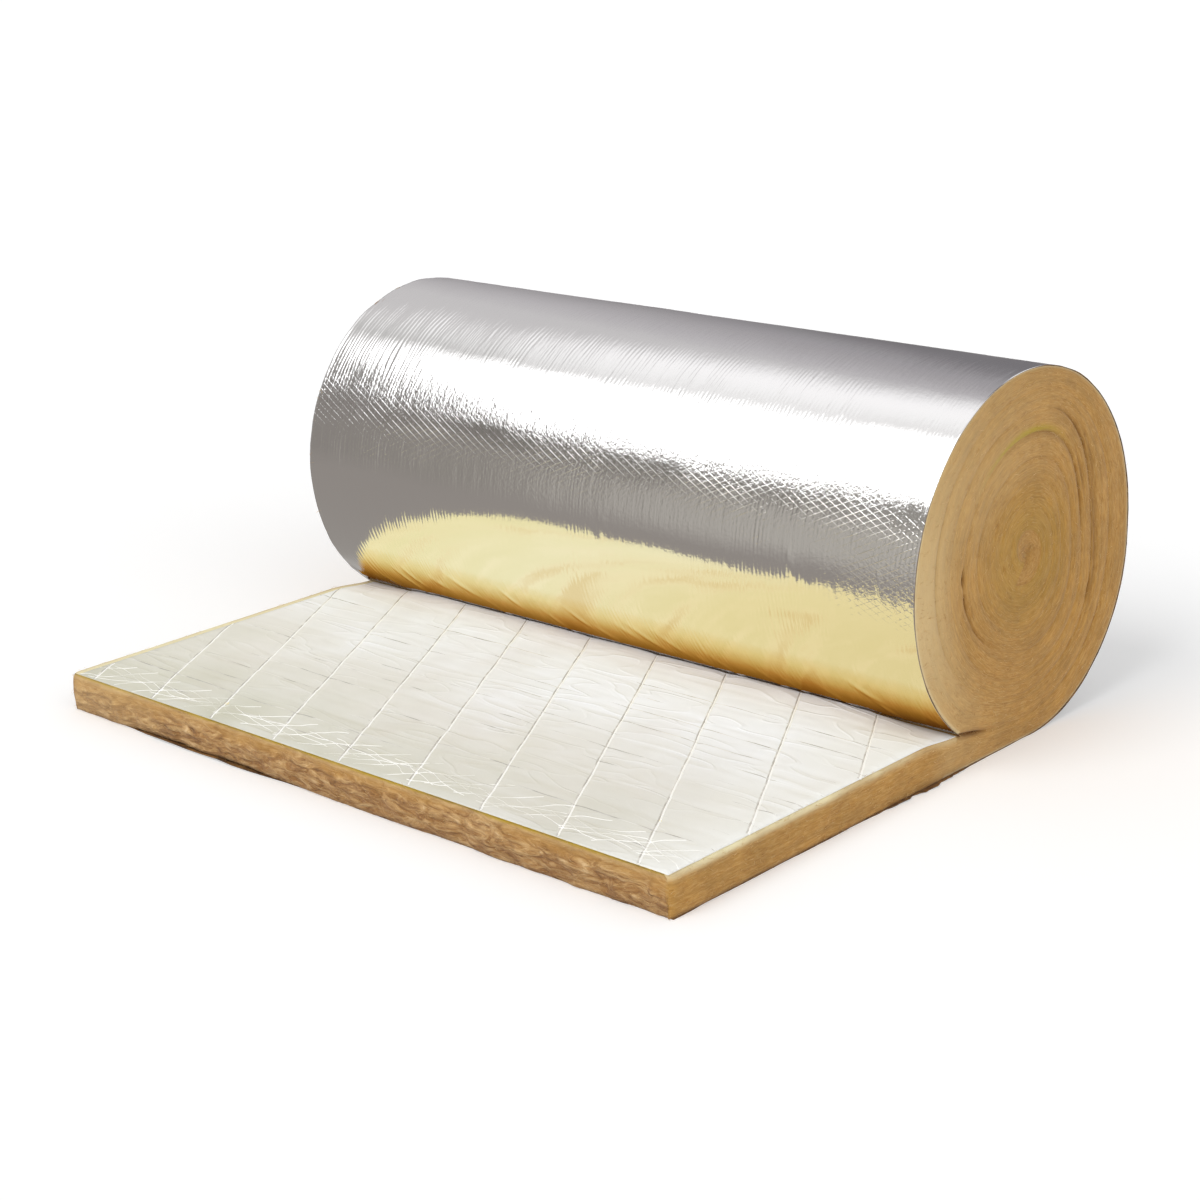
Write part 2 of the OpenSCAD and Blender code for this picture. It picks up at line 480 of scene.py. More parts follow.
# the tones run from the cut edge to the roll; the whitest, nearest the roll, is painted light
frontTone = addNode(tree, "ShaderNodeValToRGB", {
    "Fac": frontShare,
    "stops": [
        (0.0, scrim["corner"]), (0.2, scrim["front"]), (0.47, scrim["middle"]), (0.84, scrim["back"])]})
side = addNode(tree, "ShaderNodeMapRange", {
    "From Min": 0.42, "From Max": 0.60, "Value": spread.outputs["X"]})
scrimColor = addNode(tree, "ShaderNodeMix", {
    "data_type": "RGBA", 0: side, 6: frontTone, 7: linearColor(scrim["edge"])})
tree.links.new(scrimColor.outputs[2], shader.inputs["Base Color"])
creaseMap = addNode(tree, "ShaderNodeMapping", {
    "Scale": (6.5, 20.0, 6.5), "Vector": place.outputs["Object"]})
creases = addNode(tree, "ShaderNodeTexNoise", {
    "Scale": 1.0, "Detail": 1.0, "Roughness": 0.4, "Distortion": 0.8, "Vector": creaseMap})
crests = addNode(tree, "ShaderNodeValToRGB", {
    "stops": [(0.36, 0.0), (0.45, 0.5), (0.475, 1.0), (0.52, 0.4), (0.64, 0.0)], "Fac": creases})
patchy = addNode(tree, "ShaderNodeMapRange", {
    "From Min": 0.38, "From Max": 0.58, "To Min": 0.25, "To Max": 1.0, "Value": patches})
patchyCrests = addNode(tree, "ShaderNodeMath", {"operation": "MULTIPLY", 0: crests, 1: patchy})
creaseBump = addNode(tree, "ShaderNodeBump", {
    "Strength": 1.0, "Distance": 0.0011, "Height": patchyCrests})
tree.links.new(creaseBump.outputs[0], shader.inputs["Normal"])

# The film drawn over its threads: the whitest lines on the sheet, lifted by a faint painted glow
scrimThreadMaterial, tree, shader = newMaterial("film over thread", {
    "Base Color": linearColor("#FFFFFD"),
    "Roughness": 0.4,
    "Sheen Weight": 0.7,
    "Sheen Roughness": 0.5,
    "Emission Color": (1, 1, 1, 1),
    "Emission Strength": 0.05,  # a painted glow that lifts the white lines a little
})

# Painted shadow beside a thread on the film: grey, and fading in and out
pressedMaterial, tree, shader = newMaterial("film pressed down", {"Roughness": 0.5})
place = addNode(tree, "ShaderNodeTexCoord")
fading = addNode(tree, "ShaderNodeTexNoise", {
    "Scale": 38.0, "Detail": 2.0, "Vector": place.outputs["Object"]})
fadingTone = addNode(tree, "ShaderNodeValToRGB", {
    "stops": [(0.40, scrim["pressed"]), (0.62, scrim["middle"])], "Fac": fading})
tree.links.new(fadingTone.outputs["Color"], shader.inputs["Base Color"])

# Painted shade of the film's level creases: grey, darker than the sheet round them
wrinkleMaterial, tree, shader = newMaterial("film creased level", {"Roughness": 0.5})
place = addNode(tree, "ShaderNodeTexCoord")
fading = addNode(tree, "ShaderNodeTexNoise", {
    "Scale": 24.0, "Detail": 2.0, "Vector": place.outputs["Object"]})
fadingTone = addNode(tree, "ShaderNodeValToRGB", {
    "stops": [(0.38, scrim["creased"]), (0.60, scrim["middle"])], "Fac": fading})
tree.links.new(fadingTone.outputs["Color"], shader.inputs["Base Color"])
print("materials ready")


# The glass wool: both ends of the roll, the loose end's sides and its cut front

woolShape = {
    "looseSteps": 150,
    "frontSteps": 480,
    # distances of the stations from the outer face of a turn, out of 33
    "stations": [0, 1.3, 3.2, 6.4, 10.4, 14.6, 18.6, 22.4, 25.6, 28.6, 31.3, 33],
    "pillow": 0.0018,  # how far the middle of a turn stands out
    "relief": 0.0010,
    "frontRelief": 0.0032,
    "edgeRound": 0.0052,  # how far the loose end's upper edges draw in
    "frontGap": 0.0030,  # how far the cut front is lifted off the floor on its left
    # size and depth of each ring inside the eye
    "eyeRings": [(0.8, 0.0008), (0.6, 0.0014), (0.4, 0.0025), (0.25, 0.0045), (0.12, 0.0065)],
}


def newShell(*values):  # the lists in which one surface is gathered
    return {"points": [], "faces": [], "flats": [], "slots": [], "values": {key: [] for key in values}}


shell = newShell("crevice", "rim", "tint", "pale", "coarse")


def addPoints(points, **values):  # this and the next two add to the shell at hand
    count = points.size // 3
    start = sum(len(block) for block in shell["points"])
    shell["points"].append(points.reshape(-1, 3))
    for key, store in shell["values"].items():
        store.append(np.broadcast_to(values.get(key, 0.0), points.shape[:-1]).ravel())
    return start + np.arange(count).reshape(points.shape[:-1])


def addQuads(index, flats=None, flip=False, slot=0):
    if flats is None:
        flats = np.broadcast_to(offSheet, index.shape + (2,))
    quads = np.stack([index[:-1, :-1], index[1:, :-1], index[1:, 1:], index[:-1, 1:]], -1)
    corners = np.stack([flats[:-1, :-1], flats[1:, :-1], flats[1:, 1:], flats[:-1, 1:]], -2)
    if flip:
        quads, corners = quads[..., ::-1], corners[..., ::-1, :]
    shell["faces"] += quads.reshape(-1, 4).tolist()
    shell["flats"].append(corners.reshape(-1, 2))
    shell["slots"] += [slot] * (quads.size // 4)


def addLoop(loop, flat=(0.0, 0.0), slot=0):
    shell["faces"].append([int(k) for k in loop])
    shell["slots"].append(slot)
    shell["flats"].append(np.tile(np.asarray(flat, dtype=float), (len(loop), 1)))


columns = len(woolShape["stations"])
loose = woolShape["looseSteps"]
rows = loose + turns["steps"] * turns["count"]
creaseRow = loose + turns["steps"]
seatRow = loose + int(round((creaseAngle + seatAngle) / fullTurn * turns["steps"]))
spaced = np.array(woolShape["stations"]) / woolShape["stations"][-1]
even = np.linspace(0, 1, columns)


def cutDip(distance, depth):  # a narrow dip in a wider soft one
    return depth * (0.7 * np.exp(-distance / 0.0016) + 0.3 * np.exp(-((distance / 0.0050) ** 2)))


def woolEnd(sign):  # one side of the loose end and one end of the roll, as one long strip
    share = ((np.arange(loose) / loose) ** 0.9)[:, None]
    blend = smoothStep(0.3, 1.0, share)
    looseWeight = even * (1 - blend) + spaced * blend
    foot = -math.tan(creaseAngle) * axisHeight
    y = -blanket["looseLength"] * (1 - share) + share * (foot * (1 - looseWeight) + creaseY * looseWeight)
    looseZ = woolFloor + (looseTop(y) - woolFloor) * looseWeight
    total = -creaseAngle + (np.arange(loose, rows + turns["steps"] + 1) - loose) / turns["steps"] * fullTurn
    radius = faceRadius(total)
    wound = rows + 1 - loose
    innerRadius = radius[turns["steps"] : turns["steps"] + wound, None]
    distance = radius[:wound, None] * (1 - spaced) + innerRadius * spaced
    around = total[:wound, None]
    woundZ = axisHeight - distance * np.cos(around)
    across = np.concatenate(
        [
            np.stack([y, looseZ], -1),
            np.stack([distance * np.sin(around), np.maximum(woundZ, woolFloor)], -1),
        ]
    )
    across[loose : seatRow + 1, 0, 1] = woolFloor
    weight = np.concatenate([looseWeight, np.broadcast_to(spaced, distance.shape)])
    middle = across[:, columns // 2]
    along = np.concatenate([[0], np.cumsum(np.linalg.norm(np.diff(middle, axis=0), axis=1))])
    along = np.broadcast_to(along[:, None], weight.shape)
    depth = weight * blanket["thickness"]
    # how far each station stands out
    angle = np.concatenate([np.full(loose, -creaseAngle), total[:wound]])
    span = np.hypot(*np.moveaxis(across[:, -1] - across[:, 0], -1, 0))[:, None]
    fromOuter, fromInner = weight * span, (1 - weight) * span
    outerDepth = seamDepth(angle)[:, None]
    innerDepth = seamDepth(angle + fullTurn)[:, None].copy()
    innerDepth[:loose] = woolShape["edgeRound"]
    sunk = cutDip(fromOuter, outerDepth) + cutDip(fromInner, innerDepth)
    dark = cutDip(fromOuter, outerDepth - 0.0008) + cutDip(fromInner, innerDepth - 0.0008)
    for splitTurn, splitAngle, reach, offset, deep in turns["splits"]:
        centre = math.radians(splitAngle) + splitTurn * fullTurn
        groove = bell(angle[:, None], centre, math.radians(reach)) * bell(fromInner, offset, 0.0022)
        sunk, dark = sunk + deep * groove, dark + deep * groove
    body = np.sin(np.pi * np.clip(weight, 0.04, 0.96))
    # relief, in millimetres along and across the layers and different on each end
    u, v = along * 1000 + (0 if sign > 0 else 4000), depth * 1000
    fromAxis = np.hypot(across[..., 0], across[..., 1] - axisHeight)
    calm = 0.15 + 0.85 * smoothStep(0.05, 0.14, fromAxis)
    pillow = woolShape["pillow"] * calm
    sunk, dark = sunk * calm, dark * calm
    out = pillow * body**0.6 - sunk
    out = out + woolShape["relief"] * body * patchNoise(u / 42, v / 8, 21)
    out = out + 0.0006 * body * patchNoise(u / 11, v / 4.2, 23, 2)
    out = out + 0.0020 * body * patchNoise(across[..., 0] / 0.09 + sign * 3, across[..., 1] / 0.09, 22, 2)
    points = np.zeros(weight.shape + (3,))
    points[..., 0] = sign * (halfWidth - 0.0012 + out)
    points[..., 1:] = across
    points[..., 0] -= sign * 0.004 * np.exp(-(((across[..., 0] + blanket["looseLength"]) / 0.004) ** 2))
    # painted shade where turns part, a painted highlight on soft edges, and where it is pale or yellow
    values = {"crevice": np.clip(dark / 0.0085, 0, 1)}
    values["crevice"][:loose] = 0
    values["rim"] = np.zeros(weight.shape)
    softEdge = 0.8 + 0.3 * patchNoise(u[:loose] / 60, 0 * v[:loose], 24)
    fading = 1 - 0.6 * smoothStep(0.55, 0.9, share)
    values["rim"][:loose] = smoothStep(0.78, 1.0, weight[:loose]) * softEdge * fading
    values["rim"][loose:creaseRow] = (1 - smoothStep(0.0, 0.12, weight[loose:creaseRow])) * 0.5
    arc = 1.5 * bell(angle[:, None], 2 * fullTurn + math.radians(187), math.radians(25))
    values["tint"] = np.clip(arc * bell(fromInner, 0.0050, 0.0050), 0, 1) * (sign > 0)
    leftSide = bell(np.mod(angle[:, None], fullTurn), math.radians(277), math.radians(42))
    shoulder = bell(np.mod(angle[:, None], fullTurn), math.radians(217), math.radians(48))
    palerLeft = 0.8 * smoothStep(0.15, 0.25, fromAxis) * leftSide
    values["pale"] = palerLeft + 0.24 * smoothStep(0.09, 0.14, fromAxis) * shoulder
    values["pale"][:loose] *= smoothStep(0.90, 1.0, share)
    # the heart of the roll is a deeper gold, and a little darker through the same colour as the painted
    # shade
    heart = 1 - smoothStep(0.04, 0.14, fromAxis)
    values["tint"] = np.clip(values["tint"] + 0.20 * heart, 0, 1)
    values["crevice"] = np.clip(values["crevice"] + 0.09 * heart, 0, 1)
    # the innermost turn's inner face, which has no strip of its own, with a little painted shade
    tailRadius = radius[wound : wound + turns["steps"]]
    tailAngle = total[wound : wound + turns["steps"]]
    tail = np.stack(
        [
            np.full(len(tailRadius), sign * (halfWidth - 0.0026)),
            tailRadius * np.sin(tailAngle),
            axisHeight - tailRadius * np.cos(tailAngle),
        ],
        -1,
    )
    # the inner face of one turn is the outer face of the next
    index = np.zeros((rows + turns["steps"] + 1, columns), dtype=int)
    index[: rows + 1] = addPoints(points, **values)
    index[rows + 1 :, 0] = addPoints(tail, crevice=0.08)
    index[loose : rows + 1, columns - 1] = index[creaseRow:, 0]
    side = 0 if sign > 0 else 1.3
    flats = np.stack([along / 2, (depth + side) / 2], -1)
    addQuads(index[: rows + 1], flats, flip=sign < 0)
    # the eye: smaller and smaller rings inside the last turn, each deeper one darker with painted shade
    ring = np.concatenate([index[rows : rows + turns["steps"], 0], index[rows, columns - 1 : 0 : -1]])
    everyPoint = np.vstack(shell["points"])
    rim = everyPoint[ring]
    hub = rim.mean(axis=0)
    grid = [ring]
    ringFlats = [np.stack([np.linspace(0, 0.2, len(ring) + 1) + 5, np.full(len(ring) + 1, side / 2)], -1)]
    for number, (scale, sink) in enumerate(woolShape["eyeRings"]):
        layer = hub + (rim - hub) * scale
        layer[:, 0] = sign * (halfWidth - 0.0015 - sink)
        grid.append(addPoints(layer, crevice=0.02 + 0.04 * number))
        ringFlats.append(ringFlats[0] + [0, 0.004 * (number + 1)])
    grid = np.array([np.append(g, g[0]) for g in grid]).T
    addQuads(grid, np.stack(ringFlats, 1), flip=sign < 0)
    addLoop(grid[:-1, -1] if sign > 0 else grid[-2::-1, -1], (5, side / 2))
    return index


near, far = woolEnd(1), woolEnd(-1)
# the cut front, between the two side faces: coarse and torn below, smooth along the top
frontEdge = halfWidth - 0.0045
gridX, gridUp = np.meshgrid(
    np.linspace(-frontEdge, frontEdge, woolShape["frontSteps"] + 1)[1:-1], even, indexing="ij"
)
gap = woolShape["frontGap"] * smoothStep(-0.52, -0.40, gridX) * smoothStep(0.02, -0.20, gridX)
gridZ = woolFloor + gap + (woolTop - woolFloor - gap) * gridUp
bulge = np.sin(np.pi * np.clip(gridUp, 0.02, 1)) ** 0.7
lower = 1 - smoothStep(0.45, 0.8, gridUp)
out = 0.0030 * bulge + woolShape["frontRelief"] * bulge * patchNoise(gridX / 0.040, gridZ / 0.014, 31)
out += 0.0022 * lower * bulge * patchNoise(gridX / 0.015, gridZ / 0.010, 32, 2)
gridY = -blanket["looseLength"] + 0.0015 - out + 0.0016 * patchNoise(gridX / 0.05, gridUp * 0, 33)
gridZ = gridZ - 0.0010 * (gridUp > 0.99) * (1 + patchNoise(gridX / 0.03, gridUp * 0, 34))
torn = 0.30 + 0.65 * (1 - smoothStep(0.5, 0.9, gridUp + 0.2 * patchNoise(gridX / 0.07, gridUp * 2, 35)))
frontPoints = addPoints(
    np.stack([gridX, gridY, gridZ], -1),
    # painted highlight on the front's top strip
    rim=0.15 * smoothStep(0.80, 0.95, gridUp) * (gridUp < 0.97),
    tint=0.9 * (gridUp > 0.97),
    coarse=torn,
    pale=0.20 * (1 - smoothStep(-0.50, -0.30, gridX)),
    # painted shade low on the front, stronger towards the right
    crevice=0.27 * (1 - smoothStep(0.1, 0.6, gridUp)) * (0.2 + 0.8 * smoothStep(-0.45, -0.05, gridX)),
)
front = np.vstack([far[0][None], frontPoints, near[0][None]])
frontX = np.linspace(0, blanket["width"], len(front))
flats = np.stack(np.broadcast_arrays(frontX[:, None] / 2 + 6, even * 0.03), -1)
addQuads(front, flats)
cutFaces = len(shell["faces"])

# hidden faces: round the roll under the foil, below, and on the loose end under its sheet
wrap = np.stack([near[seatRow : creaseRow + 1, 0], far[seatRow : creaseRow + 1, 0]], -1)
addQuads(wrap, np.zeros(wrap.shape + (2,)), flip=True)
addLoop([*front[::-1, 0], *far[1 : seatRow + 1, 0], *near[seatRow:0:-1, 0]])
edgeX = np.array([1, 0.97, -0.97, -1]) * (halfWidth - 0.0125)
topY = np.vstack(shell["points"])[near[1:loose, -1], 1]
topPoints = np.zeros((loose - 1, 4, 3))
topPoints[..., 0], topPoints[..., 1] = edgeX, topY[:, None]
topPoints[..., 2] = looseTop(topY)[:, None] - 0.0004
# the wool's top, bare beside the sheet, takes the painted highlight colour
top = addPoints(topPoints, rim=0.9)
top = np.hstack([near[1:loose, -1:], top, far[1:loose, -1:]])
addQuads(top, np.stack(np.broadcast_arrays(topY[:, None] / 2 + 9, np.arange(6) * 0.01), -1))
addLoop([*front[:, -1], *top[0]], (9, 0))
addLoop([near[loose, -1], far[loose, -1], *top[-1, ::-1]], (9, 0))

attributes = {key: np.concatenate(store) for key, store in shell["values"].items()}
glassWool = makeMesh("glassWool", shell, [woolMaterial], attributes)
cutMark = glassWool.data.attributes.new("cut", "BOOLEAN", "FACE")
cutMark.data.foreach_set("value", np.arange(len(glassWool.data.polygons)) < cutFaces)
print("wool", len(glassWool.data.polygons), "faces")

# Stray fibres on the cut faces, laid roughly along the wool's layers

fibres = {
    "perSquareMetre": 13500.0,
    "length": (0.006, 0.016),
    "thickness": 0.00036,
    "spread": 0.55,
    "seed": 7,
}
position = np.vstack(shell["points"])
grain = np.zeros_like(position)
grain[:, 1], grain[:, 2] = axisHeight - position[:, 2], position[:, 1]
grain[position[:, 1] < -0.2] = (0, 1, 0)
onFront = position[:, 1] < -blanket["looseLength"] + 0.004
grain[onFront & (abs(position[:, 0]) < halfWidth - 0.004)] = (1, 0, 0)
grain /= np.linalg.norm(grain, axis=1)[:, None]
layer = glassWool.data.attributes.new("grain", "FLOAT_VECTOR", "POINT")
layer.data.foreach_set("vector", grain.astype(np.float32).ravel())

tree = newTree(
    "fibres on a cut face",
    Density="NodeSocketFloat",
    Shortest="NodeSocketFloat",
    Longest="NodeSocketFloat",
    Thickness="NodeSocketFloat",
    Spread="NodeSocketFloat",
    Seed="NodeSocketInt",
    Material="NodeSocketMaterial",
)
given = tree.nodes["given"]
cutFace = addNode(tree, "GeometryNodeInputNamedAttribute", {"data_type": "BOOLEAN", "Name": "cut"})
along = addNode(tree, "GeometryNodeInputNamedAttribute", {"data_type": "FLOAT_VECTOR", "Name": "grain"})
scatter = addNode(tree, "GeometryNodeDistributePointsOnFaces", {
    "Mesh": given.outputs["Geometry"], "Selection": cutFace, "Density": given.outputs["Density"],
    "Seed": given.outputs["Seed"]})
stray = addNode(tree, "FunctionNodeRandomValue", {
    "data_type": "FLOAT_VECTOR", "Seed": given.outputs["Seed"], 0: (-1, -1, -1), 1: (1, 1, 1)})
strayed = addNode(tree, "ShaderNodeVectorMath", {
    "operation": "SCALE", "Scale": given.outputs["Spread"], 0: stray})
lean = addNode(tree, "ShaderNodeVectorMath", {"operation": "ADD", 0: along, 1: strayed})
turnTo = addNode(tree, "FunctionNodeAlignRotationToVector", {"axis": "X", "Vector": lean})
anyTurn = addNode(tree, "FunctionNodeRandomValue", {"Seed": 3, 2: 0.0, 3: 6.28})
roll = addNode(tree, "FunctionNodeAxisAngleToRotation", {"Axis": (1, 0, 0), "Angle": anyTurn.outputs[1]})
rolled = addNode(tree, "FunctionNodeRotateRotation", {
    "rotation_space": "LOCAL", "Rotation": turnTo, "Rotate By": roll})
size = addNode(tree, "FunctionNodeRandomValue", {
    "Seed": given.outputs["Seed"], 2: given.outputs["Shortest"], 3: given.outputs["Longest"]})
sizes = addNode(tree, "ShaderNodeCombineXYZ", {
    "X": size.outputs[1], "Y": size.outputs[1], "Z": size.outputs[1]})
# a bent strand of length 1, as thick as its share of the longest
bow = addNode(tree, "GeometryNodeCurveQuadraticBezier", {
    "Resolution": 3, "Start": (-0.5, 0, -0.05), "Middle": (0.05, 0.25, 0.16), "End": (0.5, 0, -0.02)})
circle = addNode(tree, "GeometryNodeCurvePrimitiveCircle", {"Resolution": 3, "Radius": 0.5})
relative = addNode(tree, "ShaderNodeMath", {
    "operation": "DIVIDE", 0: given.outputs["Thickness"], 1: given.outputs["Longest"]})
strand = addNode(tree, "GeometryNodeCurveToMesh", {
    "Fill Caps": True, "Curve": bow, "Profile Curve": circle, "Scale": relative})
placed = addNode(tree, "GeometryNodeInstanceOnPoints", {
    "Points": scatter.outputs["Points"], "Instance": strand, "Rotation": rolled, "Scale": sizes})
real = addNode(tree, "GeometryNodeRealizeInstances", {0: placed})
spot = addNode(tree, "GeometryNodeInputPosition")
parts = addNode(tree, "ShaderNodeSeparateXYZ", {0: spot})
aboveFloor = addNode(tree, "ShaderNodeMath", {"operation": "MAXIMUM", 0: parts.outputs["Z"], 1: 0.0004})
kept = addNode(tree, "ShaderNodeCombineXYZ", {
    "X": parts.outputs["X"], "Y": parts.outputs["Y"], "Z": aboveFloor})
grounded = addNode(tree, "GeometryNodeSetPosition", {"Geometry": real, "Position": kept})
finishTree(tree, grounded, True)
strayFibres = bakeNodes(
    "strayFibres",
    glassWool,
    tree,
    {
        "Density": fibres["perSquareMetre"],
        "Shortest": fibres["length"][0],
        "Longest": fibres["length"][1],
        "Thickness": fibres["thickness"],
        "Spread": fibres["spread"],
        "Seed": fibres["seed"],
        "Material": fibreMaterial,
    },
)
print("stray fibres", len(strayFibres.data.polygons), "faces")


# The foil: one skin from the floor up the back, over the top and down into the crease

foilShape = {
    "rows": 106,
    "creaseRows": 34,  # more of them on the last stretch, where wrinkles lie askew
    "creaseReach": 0.125,
    "columns": 600,
    "skin": 0.0008,
    "tuck": 0.0032,  # how far it goes down past the crease
    "sway": 0.0005,
    "hoopPitch": 0.0072,  # of the fine folds that run round the roll
    "hoopHeight": 0.00018,
    "ripple": 0.00007,
    "edgeWave": 0.0006,
    "beltAt": 246,  # degrees round the roll, as in the other places below
    "beltReach": 15,
    # the hem, with the strip that shows beside the loose end, and where it stands out most
    "hemRows": 150,
    "hemColumns": 36,
    "flap": 0.0085,
    "flapAt": -0.24,
    "flapReach": 0.090,
    "frontCurl": 0.0032,  # how far it stands up under the left of the cut front
    "buckles": 22,
    "buckleHeight": 0.0014,
    "wisps": 16,  # short steep wrinkles across the front, towards the right
    "wispHeight": 0.0007,
    "wispAt": 269,
}
fine = np.linspace(seatAngle, fullTurn - creaseAngle + foilShape["tuck"] / rollRadius, 4001)
finePath = outlineRadius(fine)[:, None] * np.c_[np.sin(fine), -np.cos(fine)]
fineLength = np.concatenate([[0], np.cumsum(np.linalg.norm(np.diff(finePath, axis=0), axis=1))])
foilLength = float(fineLength[-1])
run = np.concatenate([
    np.linspace(0, foilLength - foilShape["creaseReach"], foilShape["rows"], endpoint=False),
    np.linspace(foilLength - foilShape["creaseReach"], foilLength, foilShape["creaseRows"] + 1),
])
angle = np.interp(run, fineLength, fine)
acrossFoil = np.linspace(-halfWidth, halfWidth, foilShape["columns"] + 1)
gridRun, gridX = np.meshgrid(run, acrossFoil, indexing="ij")
lift = foilShape["sway"] * patchNoise(gridX / 0.15, gridRun / 0.10, 41)
# hoops: fine folds round the roll, gathered more in some places than in others
gathered = smoothStep(-0.15, 0.75, patchNoise(gridX / 0.17, gridRun / 0.12, 45, 2))
drawnIn = smoothStep(-0.34, -0.47, gridX) + 0.7 * smoothStep(0.50, 0.58, gridX)
gathered = 0.10 + 0.90 * np.maximum(gathered, drawnIn)
gathered = gathered + 0.6 * bell(np.degrees(angle)[:, None], 207, 14) * smoothStep(0.25, -0.10, gridX)
gathered = gathered * np.clip(0.72 + 0.75 * patchNoise(gridX / 0.011, gridRun / 0.10, 46), 0.05, 1.4)
hoops = gridX / foilShape["hoopPitch"] + 0.75 * patchNoise(gridX / 0.045, gridRun / 0.11, 47, 2)
lift += foilShape["hoopHeight"] * gathered * np.sin(fullTurn * hoops)
lift += foilShape["ripple"] * patchNoise(gridX / 0.0068, gridRun / 0.042, 42, 2)
# where the foil is drawn tight over its threads: a belt along the front, and patches elsewhere
degrees = np.degrees(angle)[:, None]
belt = bell(degrees, foilShape["beltAt"], foilShape["beltReach"]) * (1 - 0.3 * drawnIn)
patches = smoothStep(0.1, 0.6, patchNoise(gridX / 0.22, gridRun / 0.16, 48, 2))
hidden = smoothStep(125, 160, degrees) + smoothStep(262, 280, degrees) - smoothStep(185, 236, degrees)
tightness = np.clip(belt * (0.75 + 0.5 * patchNoise(gridX / 0.12, gridRun / 0.03, 49)), 0, 1)
tightness = np.maximum(tightness, 0.8 * patches * np.clip(1 - hidden, 0, 1) * (degrees < 200))
crumpled = smoothStep(0.40, 0.54, gridX) * bell(degrees, 262, 17)
tightness = np.maximum(tightness, crumpled)
nearEdge = np.exp(-(halfWidth - abs(gridX)) / 0.018)
lift += foilShape["edgeWave"] * patchNoise(gridRun / 0.035, np.sign(gridX) * 9, 43) * nearEdge
# buckles at the crease, then short wrinkles across the front
chance = np.random.default_rng(44)
for k in range(foilShape["buckles"]):
    atX = -halfWidth + blanket["width"] * (k + chance.uniform(0.1, 0.9)) / foilShape["buckles"]
    atRun = foilLength - chance.uniform(0.022, 0.085)
    slant = chance.uniform(0.5, 1.5)
    aside = (gridRun - atRun) - slant * (gridX - atX)
    size = chance.uniform(0.3, 1.0) * foilShape["buckleHeight"]
    lift += size * bell(aside, 0, 0.0085) * bell(gridX, atX, chance.uniform(0.012, 0.028))
wispLength = float(np.interp(math.radians(foilShape["wispAt"]), fine, fineLength))
for k in range(foilShape["wisps"]):
    atX = halfWidth * (1 - 1.1 * chance.uniform(0, 1) ** 1.5)
    atRun = wispLength + chance.uniform(-0.016, 0.022)
    aside = (gridX - atX) - chance.uniform(0.1, 0.6) * (gridRun - atRun)
    size = chance.uniform(0.4, 1.0) * foilShape["wispHeight"]
    lift += size * bell(aside, 0, 0.0042) * bell(gridRun, atRun, 0.020)
lift *= smoothStep(0, 0.07, gridRun) * smoothStep(-0.002, 0.012, foilLength - gridRun)
radius = outlineRadius(angle)[:, None] + lift
outer = np.stack([gridX, radius * np.sin(angle)[:, None], axisHeight - radius * np.cos(angle)[:, None]], -1)
outer[0, :, 2] = 0
innerRadius = (outlineRadius(angle) - foilShape["skin"])[:, None]
ends = np.array([halfWidth, -halfWidth])
inner = np.stack(
    np.broadcast_arrays(
        ends, innerRadius * np.sin(angle)[:, None], axisHeight - innerRadius * np.cos(angle)[:, None]
    ),
    -1,
)
# the hem beside and under the loose end
hemY = np.linspace(-blanket["looseLength"] + 0.004, 0, foilShape["hemRows"] + 1)
hem = []
for side, flap in ((-1, 0.3), (1, 1.0)):
    wave = 0.6 + 0.5 * patchNoise(hemY / 0.016, side, 61, 2)
    standOut = foilShape["flap"] * flap * bell(hemY, foilShape["flapAt"], foilShape["flapReach"]) * wave
    standOut += 0.0007 * (1 + patchNoise(hemY / 0.05, side, 62)) * smoothStep(0, 0.05, -hemY)
    curl = 0.25 * np.clip(standOut - 0.0012, 0, None) * (1 + 0.6 * patchNoise(hemY / 0.02, side, 63))
    hem.append((side * (halfWidth - 0.001 + standOut), curl))
inside = np.linspace(-1, 1, foilShape["hemColumns"]) * (halfWidth - 0.006)
hemX = np.column_stack([hem[0][0], np.tile(inside, (len(hemY), 1)), hem[1][0]])
hemZ = np.column_stack([hem[0][1], np.zeros((len(hemY), len(inside))), hem[1][1]])
hemPoints = np.stack(np.broadcast_arrays(hemX, hemY[:, None], hemZ), -1)
standing = smoothStep(-0.50, -0.38, hemX[0]) * smoothStep(-0.06, -0.22, hemX[0])
hemPoints[0, :, 1] -= 0.0095 * standing
hemPoints[0, :, 2] += foilShape["frontCurl"] * standing * (0.85 + 0.3 * patchNoise(hemX[0] / 0.03, 0, 64))
shell = newShell()
skin = addPoints(outer)
lining = addPoints(inner)
floorSkin = addPoints(hemPoints)
floorLining = addPoints(hemPoints + (0, 0, foilShape["skin"]))
flats = np.stack([0.5 + gridX / blanket["width"], gridRun / foilLength], -1)
addQuads(skin, flats)
addQuads(lining, slot=1)
for edge, wall in ((-1, lining[:, 0]), (0, lining[:, 1])):
    rim = np.stack([skin[:, edge], wall], -1)
    addQuads(rim, flip=edge == 0, slot=1)
addLoop([*skin[-1, ::-1], lining[-1, 1], lining[-1, 0]], offSheet, slot=1)
addQuads(floorSkin)
addQuads(floorLining, flip=True, slot=1)
for edge in (0, -1):
    rim = np.stack([floorSkin[:, edge], floorLining[:, edge]], -1)
    addQuads(rim, flip=edge == 0, slot=1)
addQuads(np.stack([floorSkin[0], floorLining[0]]), slot=1)
addLoop([*floorSkin[-1, ::-1], *skin[0]], offSheet)
addLoop([*floorLining[-1], lining[0, 0], lining[0, 1]], offSheet, slot=1)
addLoop([floorSkin[-1, -1], skin[0, -1], lining[0, 0], floorLining[-1, -1]], offSheet, slot=1)
